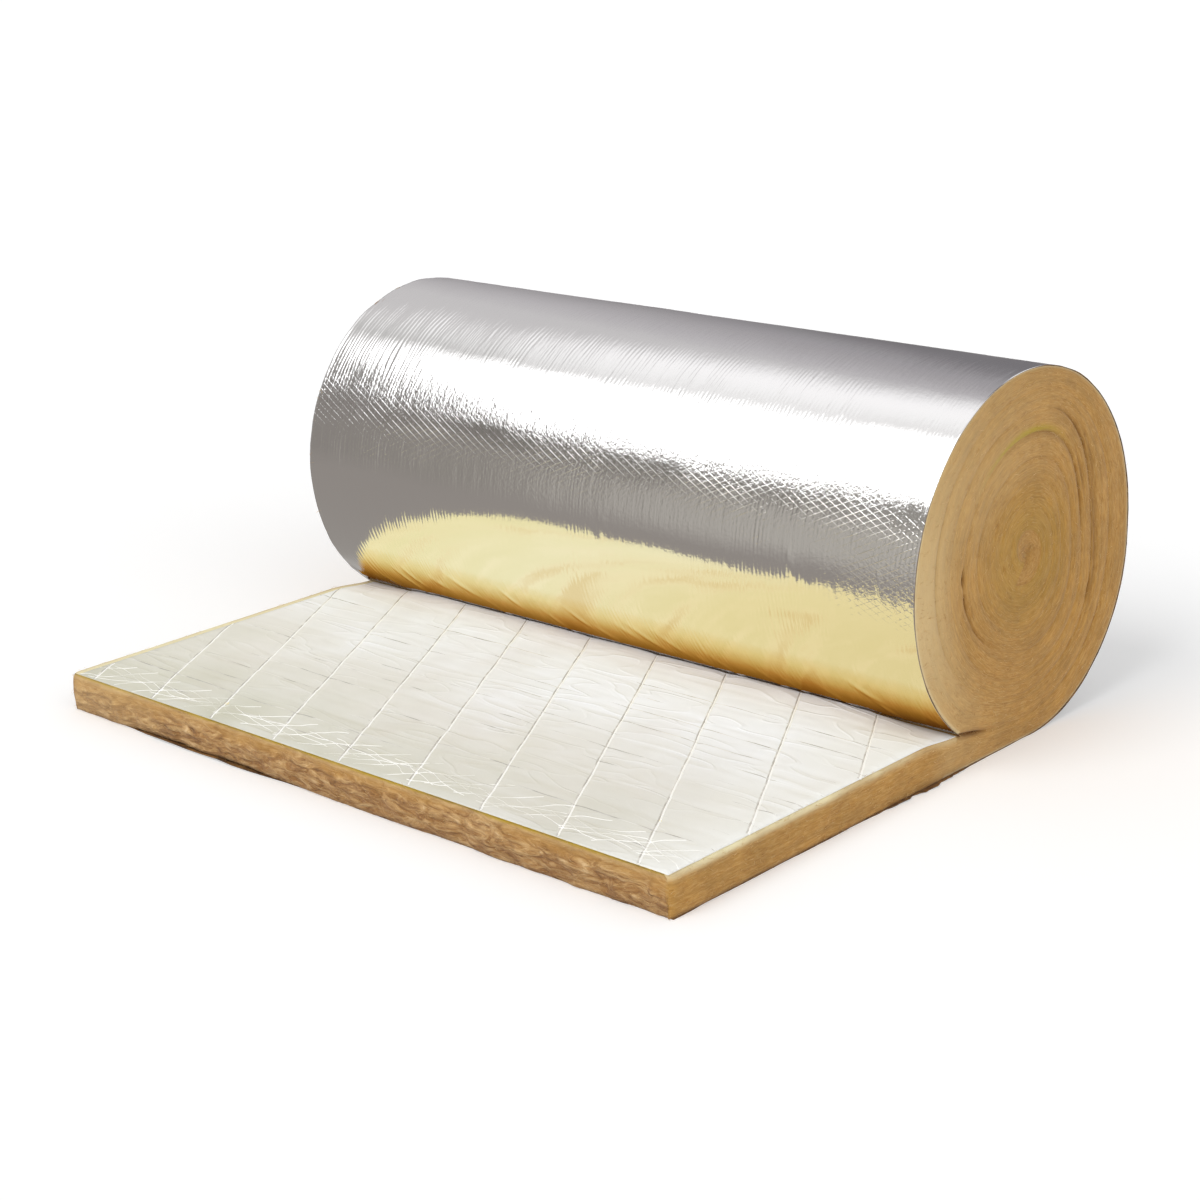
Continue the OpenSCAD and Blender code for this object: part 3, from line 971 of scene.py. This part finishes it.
addLoop([floorSkin[-1, 0], floorLining[-1, 0], lining[0, 1], skin[0, 0]], offSheet, slot=1)
tight, held = np.zeros((2, sum(len(block) for block in shell["points"])))
tight[: gridX.size] = tightness.ravel()
# the threads lie deepest where the foil is nowhere drawn tight
held[: gridX.size] = (tightness - 1.6 * (1 - smoothStep(0, 0.18, tightness))).ravel()
foilSkin = makeMesh("foilSkin", shell, [foilMaterial, foilEdgeMaterial], {"tight": tight, "held": held})
print("foil", len(foilSkin.data.polygons), "faces,", round(foilLength, 3), "m round")


# Threads: straight lines on the flat sheet, carried onto the surface it became

tree = newTree(
    "threads under a sheet",
    Surface="NodeSocketObject",
    Width="NodeSocketFloat",
    Length="NodeSocketFloat",
    Count="NodeSocketInt",
    Start="NodeSocketVector",
    Step="NodeSocketVector",
    Run="NodeSocketVector",
    Points="NodeSocketInt",
    Wander="NodeSocketFloat",
    Breadth="NodeSocketFloat",
    Height="NodeSocketFloat",
    Lift="NodeSocketFloat",
    Skew="NodeSocketFloat",
    Sink="NodeSocketFloat",
    Seed="NodeSocketInt",
    Material="NodeSocketMaterial",
)
given = tree.nodes["given"]
starts = addNode(tree, "GeometryNodeMeshLine", {
    "Count": given.outputs["Count"], "Start Location": given.outputs["Start"],
    "Offset": given.outputs["Step"]})
straight = addNode(tree, "GeometryNodeCurvePrimitiveLine", {"End": given.outputs["Run"]})
pointed = addNode(tree, "GeometryNodeResampleCurve", {
    "Curve": straight, "Count": given.outputs["Points"]})
laid = addNode(tree, "GeometryNodeInstanceOnPoints", {"Points": starts, "Instance": pointed})
lines = addNode(tree, "GeometryNodeRealizeInstances", {0: laid})
here = addNode(tree, "GeometryNodeInputPosition")
seedShift = addNode(tree, "ShaderNodeCombineXYZ", {"Z": given.outputs["Seed"]})
shifted = addNode(tree, "ShaderNodeVectorMath", {"operation": "ADD", 0: here, 1: seedShift})
# a slow drift off the straight line
drift = addNode(tree, "ShaderNodeTexNoise", {"Scale": 9.0, "Detail": 2.0, "Vector": shifted})
centred = addNode(tree, "ShaderNodeVectorMath", {
    "operation": "SUBTRACT", 0: drift.outputs["Color"], 1: (0.5, 0.5, 0.5)})
wandering = addNode(tree, "ShaderNodeVectorMath", {
    "operation": "SCALE", "Scale": given.outputs["Wander"], 0: centred})
moved = addNode(tree, "GeometryNodeSetPosition", {"Geometry": lines, "Offset": wandering})
noted = addNode(tree, "GeometryNodeStoreNamedAttribute", {
    "data_type": "FLOAT_VECTOR", "domain": "POINT", "Name": "onSheet", "Geometry": moved, "Value": here})
onSheet = addNode(tree, "GeometryNodeInputNamedAttribute", {
    "data_type": "FLOAT_VECTOR", "Name": "onSheet"})
extent = addNode(tree, "ShaderNodeCombineXYZ", {
    "Z": 1.0, "X": given.outputs["Width"], "Y": given.outputs["Length"]})
spot = addNode(tree, "ShaderNodeVectorMath", {"operation": "DIVIDE", 0: onSheet, 1: extent})
surface = addNode(tree, "GeometryNodeObjectInfo", {"Object": given.outputs["Surface"]})
flatMap = addNode(tree, "GeometryNodeInputNamedAttribute", {"data_type": "FLOAT_VECTOR", "Name": "flat"})
held = addNode(tree, "GeometryNodeInputNamedAttribute", {"data_type": "FLOAT", "Name": "held"})
# the sheet's place, normal and tightness under each point of the lines
samples = []
for kind, field in (
    ("FLOAT_VECTOR", addNode(tree, "GeometryNodeInputPosition")),
    ("FLOAT_VECTOR", addNode(tree, "GeometryNodeInputNormal")),
    ("FLOAT", held),
):
    samples.append(addNode(tree, "GeometryNodeSampleUVSurface", {
        "data_type": kind, "Mesh": surface.outputs["Geometry"], "Value": field, "Sample UV": spot,
        2: flatMap}))
missed = addNode(tree, "FunctionNodeBooleanMath", {"operation": "NOT", 0: samples[0].outputs["Is Valid"]})
trimmed = addNode(tree, "GeometryNodeDeleteGeometry", {
    "domain": "POINT", "Geometry": noted, "Selection": missed})
loosened = addNode(tree, "ShaderNodeMath", {
    "operation": "SUBTRACT", 0: 1.0, 1: samples[2].outputs["Value"]})
sunk = addNode(tree, "ShaderNodeMath", {"operation": "MULTIPLY", 0: loosened, 1: given.outputs["Sink"]})
height = addNode(tree, "ShaderNodeMath", {"operation": "SUBTRACT", 0: given.outputs["Lift"], 1: sunk})
outwards = addNode(tree, "ShaderNodeVectorMath", {
    "operation": "SCALE", "Scale": height, 0: samples[1].outputs["Value"]})
carried = addNode(tree, "GeometryNodeSetPosition", {
    "Geometry": trimmed, "Position": samples[0].outputs["Value"], "Offset": outwards})
upright = addNode(tree, "GeometryNodeSetCurveNormal", {
    "mode": "FREE", "Curve": carried, "Normal": samples[1].outputs["Value"]})
# a low triangle as section, with its crest moved sideways
half = addNode(tree, "ShaderNodeMath", {"operation": "MULTIPLY", 0: given.outputs["Breadth"], 1: 0.577})
triangle = addNode(tree, "GeometryNodeCurvePrimitiveCircle", {"Resolution": 3, "Radius": 1.0})
corner = addNode(tree, "GeometryNodeInputPosition")
cornerParts = addNode(tree, "ShaderNodeSeparateXYZ", {0: corner})
apex = addNode(tree, "ShaderNodeMath", {"operation": "GREATER_THAN", 0: cornerParts.outputs["X"], 1: 0.5})
sideways = addNode(tree, "ShaderNodeCombineXYZ", {"Y": given.outputs["Skew"]})
skewed = addNode(tree, "GeometryNodeSetPosition", {
    "Geometry": triangle, "Selection": apex, "Offset": sideways})
proportions = addNode(tree, "ShaderNodeCombineXYZ", {"Z": 1.0, "X": given.outputs["Height"], "Y": half})
section = addNode(tree, "GeometryNodeTransform", {"Geometry": skewed, "Scale": proportions})
strands = addNode(tree, "GeometryNodeCurveToMesh", {
    "Fill Caps": True, "Curve": upright, "Profile Curve": section})
cleaned = addNode(tree, "GeometryNodeRemoveAttribute", {"Name": "onSheet", "Geometry": strands})
finishTree(tree, cleaned, False)
threadTree = tree


def threads(name, surface, size, material, count, start, step, run, segment, section, wander, seed):
    breadth, height, lift, skew, sink = section
    return bakeNodes(
        name,
        surface,
        threadTree,
        {
            "Surface": surface,
            "Width": size[0],
            "Length": size[1],
            "Count": count,
            "Start": (*start, 0.0),
            "Step": (*step, 0.0),
            "Run": (*run, 0.0),
            "Points": int(math.hypot(*run) / segment),
            "Wander": wander,
            "Breadth": breadth,
            "Height": height,
            "Lift": lift,
            "Skew": skew,
            "Sink": sink,
            "Seed": seed,
            "Material": material,
        },
    )


foilThreads = {
    # breadth, height, how far it sits out, how far its crest is off the middle, and how
    # deep it lies where the foil isn't drawn tight
    "rising": (0.0013, 0.00013, 0.00002, 0.5, 0.00024),
    "falling": (0.0013, 0.00013, 0.00002, -0.5, 0.00024),
    "wander": 0.004,
    "diamond": (0.0205, 0.0103),  # along the roll and round it
    "segment": 0.0070,
}
along, around = foilThreads["diamond"]
sideways = along / around * foilLength
diagonals = []
for name, section, start, run, seed in (
    ("threadsRising", "rising", -sideways, sideways, 4),
    ("threadsFalling", "falling", 0, -sideways, 2),
):
    diagonals.append(
        threads(
            name,
            foilSkin,
            (blanket["width"], foilLength),
            threadMaterial,
            count=int((blanket["width"] + sideways) / along) + 1,
            start=(start, 0),
            step=(along, 0),
            run=(run, foilLength),
            segment=foilThreads["segment"],
            section=foilThreads[section],
            wander=foilThreads["wander"],
            seed=seed,
        )
    )
print("foil threads", [len(piece.data.polygons) for piece in diagonals], "faces")


# The pale sheet on the loose end

scrimShape = {
    "margins": (0.0170, 0.0040),  # bare wool at the far and the near end
    "rows": 172,
    "columns": 264,
    "thickness": 0.0007,
    "quilt": 0.0012,  # how much it dips along the slanted lines
    "crosswise": 0.0009,
    "linePitch": 0.1365,
    "firstLine": -0.543,
    "rowPitch": 0.06,
    "slant": -math.tan(math.radians(30.4)),
}
sheetLeft = -halfWidth + scrimShape["margins"][0]
sheetRight = halfWidth - scrimShape["margins"][1]
sheetWidth = sheetRight - sheetLeft
sheetFront = -blanket["looseLength"] + 0.0008
sheetLength = creaseY + 0.0004 - sheetFront
gridY, gridX = np.meshgrid(
    sheetFront + sheetLength * np.linspace(0, 1, scrimShape["rows"] + 1),
    np.linspace(sheetLeft, sheetRight, scrimShape["columns"] + 1),
    indexing="ij",
)
fromFront = gridY - sheetFront
toLine = (gridX - scrimShape["firstLine"] - scrimShape["slant"] * fromFront) / scrimShape["linePitch"]
toLine = abs(toLine - np.round(toLine)) * scrimShape["linePitch"]
toRow = fromFront / scrimShape["rowPitch"]
toRow = abs(toRow - np.round(toRow)) * scrimShape["rowPitch"]
lift = scrimShape["quilt"] * (1 - bell(toLine, 0, 0.010) - 0.5 * bell(toRow, 0, 0.007))
frontMost = 0.18 + 0.82 * (1 - smoothStep(0.05, 0.3, fromFront)) * (1 - 0.6 * smoothStep(-0.1, 0.3, gridX))
lift += scrimShape["crosswise"] * patchNoise(gridX / 0.13, gridY / 0.024, 51, 2) * frontMost
lift += 0.0008 * patchNoise(gridX / 0.07, gridY / 0.07, 52, 2)
toSide = np.minimum(gridX - sheetLeft, sheetRight - gridX)
toEdge = np.minimum(np.minimum(toSide, fromFront), (creaseY - gridY) + 0.004)
lift *= smoothStep(0, 0.012, toEdge)
lift -= 0.0012 * (1 - smoothStep(0, 0.010, toSide))
gridZ = sheetTop(gridX, gridY) + scrimShape["thickness"] + 0.0004 + lift
rollUnder = axisHeight - np.sqrt(rollRadius**2 - np.clip(gridY, -0.26, 0) ** 2)
gridZ = np.where(gridY > -0.21, np.minimum(gridZ, rollUnder - 0.0020), gridZ)
topSide = np.stack([gridX, gridY, gridZ], -1)
ends = np.array([sheetRight, sheetLeft])
underZ = np.minimum(looseTop(gridY[:, :1]) - 0.0002, gridZ.min(axis=1)[:, None] - 0.0004)
underSide = np.stack(np.broadcast_arrays(ends, gridY[:, :1], underZ), -1)
shell = newShell()
skin, lining = addPoints(topSide), addPoints(underSide)
flats = np.stack([(gridX - sheetLeft) / sheetWidth, fromFront / sheetLength], -1)
addQuads(skin, flats, flip=True)
addQuads(lining, flip=True)
for edge, wall in ((-1, lining[:, 0]), (0, lining[:, 1])):
    rim = np.stack([skin[:, edge], wall], -1)
    addQuads(rim, flip=edge == -1)
addLoop([*skin[0, ::-1], lining[0, 1], lining[0, 0]], offSheet)
addLoop([*skin[-1], lining[-1, 0], lining[-1, 1]], offSheet)
held = np.zeros(sum(len(block) for block in shell["points"]))
held[: gridX.size] = smoothStep(-0.25, 0.30, patchNoise(gridX / 0.10, gridY / 0.03, 54, 2)).ravel()
scrimSheet = makeMesh("scrimSheet", shell, [scrimMaterial], {"held": held})

scrimThreads = {
    # breadth, height, how far it sits out, how far its crest is off the middle, and how
    # deep it lies where the sheet hangs loose
    "slanted": (0.0036, 0.0005, 0.0, 0.0, 0.0),
    # the painted shadow beside each slanted thread: a low flat grey strip
    "groove": (0.0034, 0.0003, 0.0, 0.0, 0.0),
    "scratch": (0.0009, 0.0005, 0.0, 0.0, 0.00035),
    "level": (0.0036, 0.00028, 0.0, 0.0, 0.00029),
    "shadowAside": 0.0032,
    "wander": 0.0045,
    "segment": 0.008,
}
slantedStart = (scrimShape["firstLine"] - sheetLeft, 0.001)
shadowStart = (slantedStart[0] - scrimThreads["shadowAside"], 0.001)
slantedStep = (scrimShape["linePitch"], 0)
slantedRun = (scrimShape["slant"] * sheetLength, sheetLength)
levelRun = (sheetWidth - 0.002, 0)
white, grey, dull = scrimThreadMaterial, pressedMaterial, wrinkleMaterial
net = []
# long slanted lines with a painted grey shadow strip beside each, short white ones near the cut edge at
# three flat angles, and level creases: count, start, step, run, how much they wander and seed
for name, material, section, count, start, step, run, wander, seed in (
    ("netSlanted", white, "slanted", 13, slantedStart, slantedStep, slantedRun, 1, 21),
    ("netGroove", grey, "groove", 13, shadowStart, slantedStep, slantedRun, 1, 21),
    ("netRising", white, "scratch", 20, (-0.06, 0.001), (0.0610, 0.001), (0.10, 0.070), 12, 22),
    ("netCrossing", white, "scratch", 22, (-0.03, 0.060), (0.0560, -0.0004), (0.12, -0.034), 12, 25),
    ("netFanned", white, "scratch", 9, (0.02, 0.010), (0.1365, 0.001), (0.12, 0.038), 12, 28),
    ("netLevel", dull, "level", 11, (0.001, 0.045), (0, 0.044), levelRun, 2, 23),
):
    net.append(
        threads(
            name,
            scrimSheet,
            (sheetWidth, sheetLength),
            material,
            count,
            start,
            step,
            run,
            segment=scrimThreads["segment"],
            section=scrimThreads[section],
            wander=scrimThreads["wander"] * wander,
            seed=seed,
        )
    )
print("pale sheet", len(scrimSheet.data.polygons), "faces, net", [len(p.data.polygons) for p in net])


# The pieces' places in the frame

for piece, node, slot in (
    (glassWool, "wool_blanket", "glass_wool"),
    (foilSkin, "foil_facing", "foil"),
    (scrimSheet, "scrim_facing", "pale_scrim"),
):
    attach(piece, "root")
    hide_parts(node)
for piece, slot in (
    (strayFibres, "glass_wool"),
    (diagonals[0], "foil"),
    (diagonals[1], "foil"),
    *((piece, "pale_scrim") for piece in net),
):
    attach(piece, "root")


# Floor, light and camera

studio = {
    "skyLevel": 0.58,
    "keyLevel": 0.44,
    "keyFrom": (-0.10, -0.72, 0.72),
    "keyAngle": 40,  # degrees
    "fillLevel": 0.22,
    "fillFrom": (0.88, -0.25, 0.42),
    "fillAngle": 60,
    "floorHalf": 30.0,
    "floorGlow": 0.12,  # for the camera only
    "domeRadius": 6.0,
    # wall tones by compass direction, from the front (-1) to the back (1)
    "walls": [
        (-1.0, "#C4BFB6"),
        (-0.80, "#B4AFA7"),
        (-0.75, "#9F9992"),
        (-0.71, "#959088"),
        (-0.65, "#918B86"),
        (-0.50, "#948F8A"),
        (-0.35, "#A39F9B"),
        (0.0, "#CFCDCB"),
        (0.2, "#D8D5D4"),
        (0.55, "#D2CFCF"),
        (0.66, "#C2BEC0"),
        (0.70, "#BBB7B9"),
        (0.76, "#AEAAAC"),
        (0.785, "#A9A5A8"),
        (0.812, "#A09D9F"),
        (0.835, "#938F92"),
        (0.86, "#838083"),
        (0.89, "#7D7A7D"),
        (1.0, "#686568"),
    ],
    # how much darker they are near the horizon on the left, and where that begins and ends
    "hazeLevel": 0.27,
    "hazeSide": (-0.44, -0.56),
    "hazeHigh": (0.50, 0.02),
    "hazeBack": (0.3, 0.5),
    # what a reflection that goes down past the loose end meets, front to back, and where the
    # walls pass into it
    "horizon": (0.02, -0.14),
    "ground": [(0.0, "#98918B"), (0.5, "#A09B95"), (0.75, "#C9C6C2"), (1.0, "#B9B6B3")],
    # the soft light's edges as low and high values of the direction's parts
    "boxLevel": 2.3,
    "boxSide": (-0.80, -0.69),
    "boxLow": (0.44, 0.53),
    "boxBack": (-0.04, -0.27),
    "boxTilt": (-0.655, -0.575, 2.0, 0.06),  # left and right ends of its level edge, climb, reach
    # the walls are darker round it
    "frameLow": (0.20, 0.36),
    "frameBack": (-0.2, -0.5),
    "frameShade": 0.35,
    # a weaker part high above, and a light for whoever looks at the back
    "upperLow": (0.68, 0.79),
    "upperBack": (0.40, 0.15),
    "upperShare": 0.20,
    "behindLow": (0.35, 0.60),
    "behindBack": (0.45, 0.65),
    "behindSide": (-0.45, -0.15),
    "behindShare": 0.4,
    # the warm reflector's colours along the roll and, close to the crease, across it, where they darken to
    # brown as painted shade of the crease
    "cardLevel": 1.09,
    "cardAlong": [(0.0, "#FBF0BA"), (0.29, "#FFF6CB"), (0.62, "#F7E7AF"), (1.0, "#EFDCA2")],
    "cardMottled": [(0.36, "#F1E7D8"), (0.47, "#FFFFFF"), (0.55, "#F7F8F0"), (0.66, "#FFFFFF")],
    "cardCrease": [
        (0.0, "#FFFFFF"),
        (0.33, "#F4E8CC"),
        (0.54, "#DABD8A"),
        (0.65, "#C0945A"),
        (0.76, "#9A7038"),
        (0.87, "#704C26"),
        (1.0, "#402812"),
    ],
}


def stagePiece(name, mesh, material):  # something of the studio, not of the roll
    piece = bpy.data.objects.new(name, mesh)
    scene.collection.objects.link(piece)
    mesh.materials.clear()
    mesh.materials.append(material)
    return piece


world = bpy.data.worlds.new("studio")
scene.world = world
world.use_nodes = True
tree = world.node_tree
tree.nodes.clear()
path = addNode(tree, "ShaderNodeLightPath")
seen = addNode(tree, "ShaderNodeMath", {
    "operation": "MAXIMUM", 0: path.outputs["Is Camera Ray"], 1: path.outputs["Is Glossy Ray"]})
seenOrThrough = addNode(tree, "ShaderNodeMath", {
    "operation": "MAXIMUM", 0: seen, 1: path.outputs["Is Transmission Ray"]})
strength = addNode(tree, "ShaderNodeMapRange", {
    "To Min": studio["skyLevel"], "To Max": 1.0, "Value": seenOrThrough})
sky = addNode(tree, "ShaderNodeBackground", {"Color": (1, 1, 1, 1), "Strength": strength})
addNode(tree, "ShaderNodeOutputWorld", {"Surface": sky})

# Floor: plain matt white paper
floorMaterial, tree, shader = newMaterial("white studio floor", {
    "Base Color": (0.93, 0.93, 0.93, 1),
    "Roughness": 1.0,
    "Specular IOR Level": 0.0,
    "Emission Color": (1, 1, 1, 1),
})
path = addNode(tree, "ShaderNodeLightPath")
lifted = addNode(tree, "ShaderNodeMath", {
    "operation": "MULTIPLY", 0: path.outputs["Is Camera Ray"], 1: studio["floorGlow"]})
tree.links.new(lifted.outputs[0], shader.inputs["Emission Strength"])
mesh = bpy.data.meshes.new("floor")
half = studio["floorHalf"]
corners = [(-half, -half, 0), (half, -half, 0), (half, half, 0), (-half, half, 0)]
mesh.from_pydata(corners, [], [(0, 1, 2, 3)])
floor = stagePiece("floor", mesh, floorMaterial)
floor.visible_glossy = False

# Tent that only reflections see: grey walls that darken towards the back, and a large soft
# light above in front, with a second one for whoever looks at the back
tentMaterial = bpy.data.materials.new("reflection tent")
tentMaterial.use_nodes = True
tree = tentMaterial.node_tree
tree.nodes.clear()
place = addNode(tree, "ShaderNodeTexCoord")
direction = addNode(tree, "ShaderNodeVectorMath", {"operation": "NORMALIZE", 0: place.outputs["Object"]})
parts = addNode(tree, "ShaderNodeSeparateXYZ", {"Vector": direction})
alongX, towardsBack, height = parts.outputs["X"], parts.outputs["Y"], parts.outputs["Z"]
level = addNode(tree, "ShaderNodeVectorMath", {"operation": "MULTIPLY", 0: direction, 1: (1, 1, 0)})
compass = addNode(tree, "ShaderNodeVectorMath", {"operation": "NORMALIZE", 0: level})
compassParts = addNode(tree, "ShaderNodeSeparateXYZ", {"Vector": compass})
share = addNode(tree, "ShaderNodeMapRange", {
    "From Min": -1.0, "From Max": 1.0, "Value": compassParts.outputs["Y"]})
walls = addNode(tree, "ShaderNodeValToRGB", {
    "stops": [((y + 1) / 2, color) for y, color in studio["walls"]], "Fac": share})
ground = addNode(tree, "ShaderNodeValToRGB", {"stops": studio["ground"], "Fac": share})
low = addNode(tree, "ShaderNodeMapRange", {
    "From Min": studio["horizon"][0], "From Max": studio["horizon"][1], "Value": height})
surrounds = addNode(tree, "ShaderNodeMix", {"data_type": "RGBA", 0: low, 6: walls, 7: ground})
# the light's lower edge climbs on both sides
tiltLeft, tiltRight, tiltBy, tiltEnd = studio["boxTilt"]
fromLeft = addNode(tree, "ShaderNodeMath", {"operation": "SUBTRACT", 0: alongX, 1: tiltLeft})
leftward = addNode(tree, "ShaderNodeMath", {"operation": "MINIMUM", 0: fromLeft, 1: 0.0})
fromRight = addNode(tree, "ShaderNodeMath", {"operation": "SUBTRACT", 0: alongX, 1: tiltRight})
rightward = addNode(tree, "ShaderNodeMath", {"operation": "MAXIMUM", 0: fromRight, 1: 0.0})
rightClimb = addNode(tree, "ShaderNodeMath", {"operation": "MINIMUM", 0: rightward, 1: tiltEnd})
outward = addNode(tree, "ShaderNodeMath", {"operation": "SUBTRACT", 0: leftward, 1: rightClimb})
lowEdge = addNode(tree, "ShaderNodeMath", {"operation": "MULTIPLY_ADD", 0: outward, 1: tiltBy, 2: height})
tone = {}
for name, value in (
    ("boxSide", alongX),
    ("boxLow", lowEdge),
    ("boxBack", towardsBack),
    ("frameLow", lowEdge),
    ("frameBack", towardsBack),
    ("hazeHigh", height),
    ("hazeSide", alongX),
    ("hazeBack", towardsBack),
    ("upperLow", height),
    ("upperBack", towardsBack),
    ("behindLow", height),
    ("behindBack", towardsBack),
    ("behindSide", alongX),
):
    low, high = studio[name]
    tone[name] = addNode(tree, "ShaderNodeMapRange", {
        "interpolation_type": "SMOOTHSTEP", "Value": value, "From Min": low, "From Max": high})
# what those edges give together: each line has its name, its operation and what goes into it
for name, operation, *terms in (
    ("frame", "MULTIPLY", "frameLow", "frameBack"),
    ("haze", "MULTIPLY", "hazeHigh", "hazeSide"),
    ("hazeBehind", "MULTIPLY", "haze", "hazeBack"),
    ("frameShade", "MULTIPLY_ADD", "frame", -studio["frameShade"], 1.0),
    ("shade", "MULTIPLY_ADD", "hazeBehind", -studio["hazeLevel"], "frameShade"),
    ("boxFront", "MULTIPLY", "boxLow", "boxBack"),
    ("upper", "MULTIPLY", "upperLow", "upperBack"),
    ("boxUpper", "MULTIPLY", "upper", studio["upperShare"]),
    ("boxWide", "MAXIMUM", "boxFront", "boxUpper"),
    ("box", "MULTIPLY", "boxWide", "boxSide"),
    ("behindWide", "MULTIPLY", "behindLow", "behindBack"),
    ("behind", "MULTIPLY", "behindWide", "behindSide"),
    ("boxes", "MULTIPLY_ADD", "behind", studio["behindShare"], "box"),
):
    inputs = {index: tone.get(term, term) for index, term in enumerate(terms)}
    tone[name] = addNode(tree, "ShaderNodeMath", {"operation": operation, **inputs})
darkened = addNode(tree, "ShaderNodeVectorMath", {
    "operation": "SCALE", "Scale": tone["shade"], 0: surrounds.outputs[2]})
lit = addNode(tree, "ShaderNodeVectorMath", {
    "operation": "MULTIPLY_ADD", 0: tone["boxes"], 1: (studio["boxLevel"],) * 3, 2: darkened})
glow = addNode(tree, "ShaderNodeEmission", {"Color": lit})
addNode(tree, "ShaderNodeOutputMaterial", {"Surface": glow})
tentShape = bmesh.new()
bmesh.ops.create_uvsphere(tentShape, u_segments=64, v_segments=32, radius=studio["domeRadius"])
mesh = bpy.data.meshes.new("tent")
tentShape.to_mesh(mesh)
tentShape.free()
tent = stagePiece("reflectionTent", mesh, tentMaterial)

# Warm reflector that only reflections see, lying just over the loose end
cardMaterial = bpy.data.materials.new("warm reflector")
cardMaterial.use_nodes = True
tree = cardMaterial.node_tree
tree.nodes.clear()
place = addNode(tree, "ShaderNodeTexCoord")
parts = addNode(tree, "ShaderNodeSeparateXYZ", {"Vector": place.outputs["Object"]})
fromLeft = addNode(tree, "ShaderNodeMapRange", {
    "From Min": -halfWidth, "From Max": halfWidth, "Value": parts.outputs["X"]})
toCrease = addNode(tree, "ShaderNodeMapRange", {
    "From Min": creaseY - 0.100, "From Max": creaseY - 0.004, "Value": parts.outputs["Y"]})
alongTone = addNode(tree, "ShaderNodeValToRGB", {"stops": studio["cardAlong"], "Fac": fromLeft})
# painted shade: the reflector darkens to brown towards the crease
creaseTone = addNode(tree, "ShaderNodeValToRGB", {"stops": studio["cardCrease"], "Fac": toCrease})
cardTone = addNode(tree, "ShaderNodeMix", {
    "data_type": "RGBA", "blend_type": "MULTIPLY", 0: 1.0, 6: alongTone, 7: creaseTone})
mottlingMap = addNode(tree, "ShaderNodeMapping", {
    "Scale": (13.0, 3.2, 1.0), "Vector": place.outputs["Object"]})
mottling = addNode(tree, "ShaderNodeTexNoise", {
    "Scale": 1.0, "Detail": 4.0, "Roughness": 0.6, "Distortion": 0.5, "Vector": mottlingMap})
mottledTone = addNode(tree, "ShaderNodeValToRGB", {"stops": studio["cardMottled"], "Fac": mottling})
cardColor = addNode(tree, "ShaderNodeMix", {
    "data_type": "RGBA", "blend_type": "MULTIPLY", 0: 1.0, 6: cardTone.outputs[2], 7: mottledTone})
glow = addNode(tree, "ShaderNodeEmission", {
    "Strength": studio["cardLevel"], "Color": cardColor.outputs[2]})
addNode(tree, "ShaderNodeOutputMaterial", {"Surface": glow})
fromCrease = [creaseY + blanket["looseLength"], 0.10, 0.06, 0.03, 0.017, 0.012, 0.008, 0.004, 0.0]
cardX, cardAway = np.meshgrid(np.linspace(-halfWidth, halfWidth, 25), fromCrease)
above = 0.0078 * smoothStep(0, 0.017, cardAway) - 0.0012
cardY = creaseY - cardAway
index = np.arange(cardX.size).reshape(cardX.shape)
quads = np.stack([index[:-1, :-1], index[:-1, 1:], index[1:, 1:], index[1:, :-1]], -1).reshape(-1, 4)
mesh = bpy.data.meshes.new("reflector")
cardPoints = np.stack([cardX, cardY, sheetTop(cardX, cardY) + above], -1)
mesh.from_pydata(cardPoints.reshape(-1, 3).tolist(), [], quads.tolist())
reflector = stagePiece("warmReflector", mesh, cardMaterial)
for piece in (tent, reflector):
    piece.visible_camera = False
    piece.visible_diffuse = False
    piece.visible_transmission = False
    piece.visible_shadow = False


def sunLamp(name, origin, level, angle):  # a soft lamp that reflections don't see
    lamp = bpy.data.lights.new(name, "SUN")
    lamp.energy = math.pi * level
    lamp.angle = math.radians(angle)
    holder = bpy.data.objects.new(name, lamp)
    scene.collection.objects.link(holder)
    holder.rotation_euler = Vector(origin).to_track_quat("Z", "Y").to_euler()
    holder.visible_glossy = False


sunLamp("keyLight", studio["keyFrom"], studio["keyLevel"], studio["keyAngle"])
sunLamp("fillLight", studio["fillFrom"], studio["fillLevel"], studio["fillAngle"])

view = {
    "position": (2.38462, -2.79906, 1.28553),
    "yaw": -0.74853,
    "pitch": 0.31312,
    "roll": -0.03302,
    "lens": 73.5826,
}
yaw, pitch, rollBy = view["yaw"], view["pitch"], view["roll"]
forward = Vector((math.cos(pitch) * math.sin(yaw), math.cos(pitch) * math.cos(yaw), -math.sin(pitch)))
right = Vector((math.cos(yaw), -math.sin(yaw), 0))
up = right.cross(forward)
tiltedRight = right * math.cos(rollBy) + up * math.sin(rollBy)
tiltedUp = up * math.cos(rollBy) - right * math.sin(rollBy)
camera = bpy.data.objects.new("camera", bpy.data.cameras.new("camera"))
scene.collection.objects.link(camera)
turned = Matrix((tiltedRight, tiltedUp, -forward)).transposed().to_4x4()
camera.matrix_world = Matrix.Translation(view["position"]) @ turned
camera.data.lens = view["lens"]
camera.data.sensor_width = 36
scene.camera = camera
scene.view_settings.view_transform = "Standard"

print("scene ready")
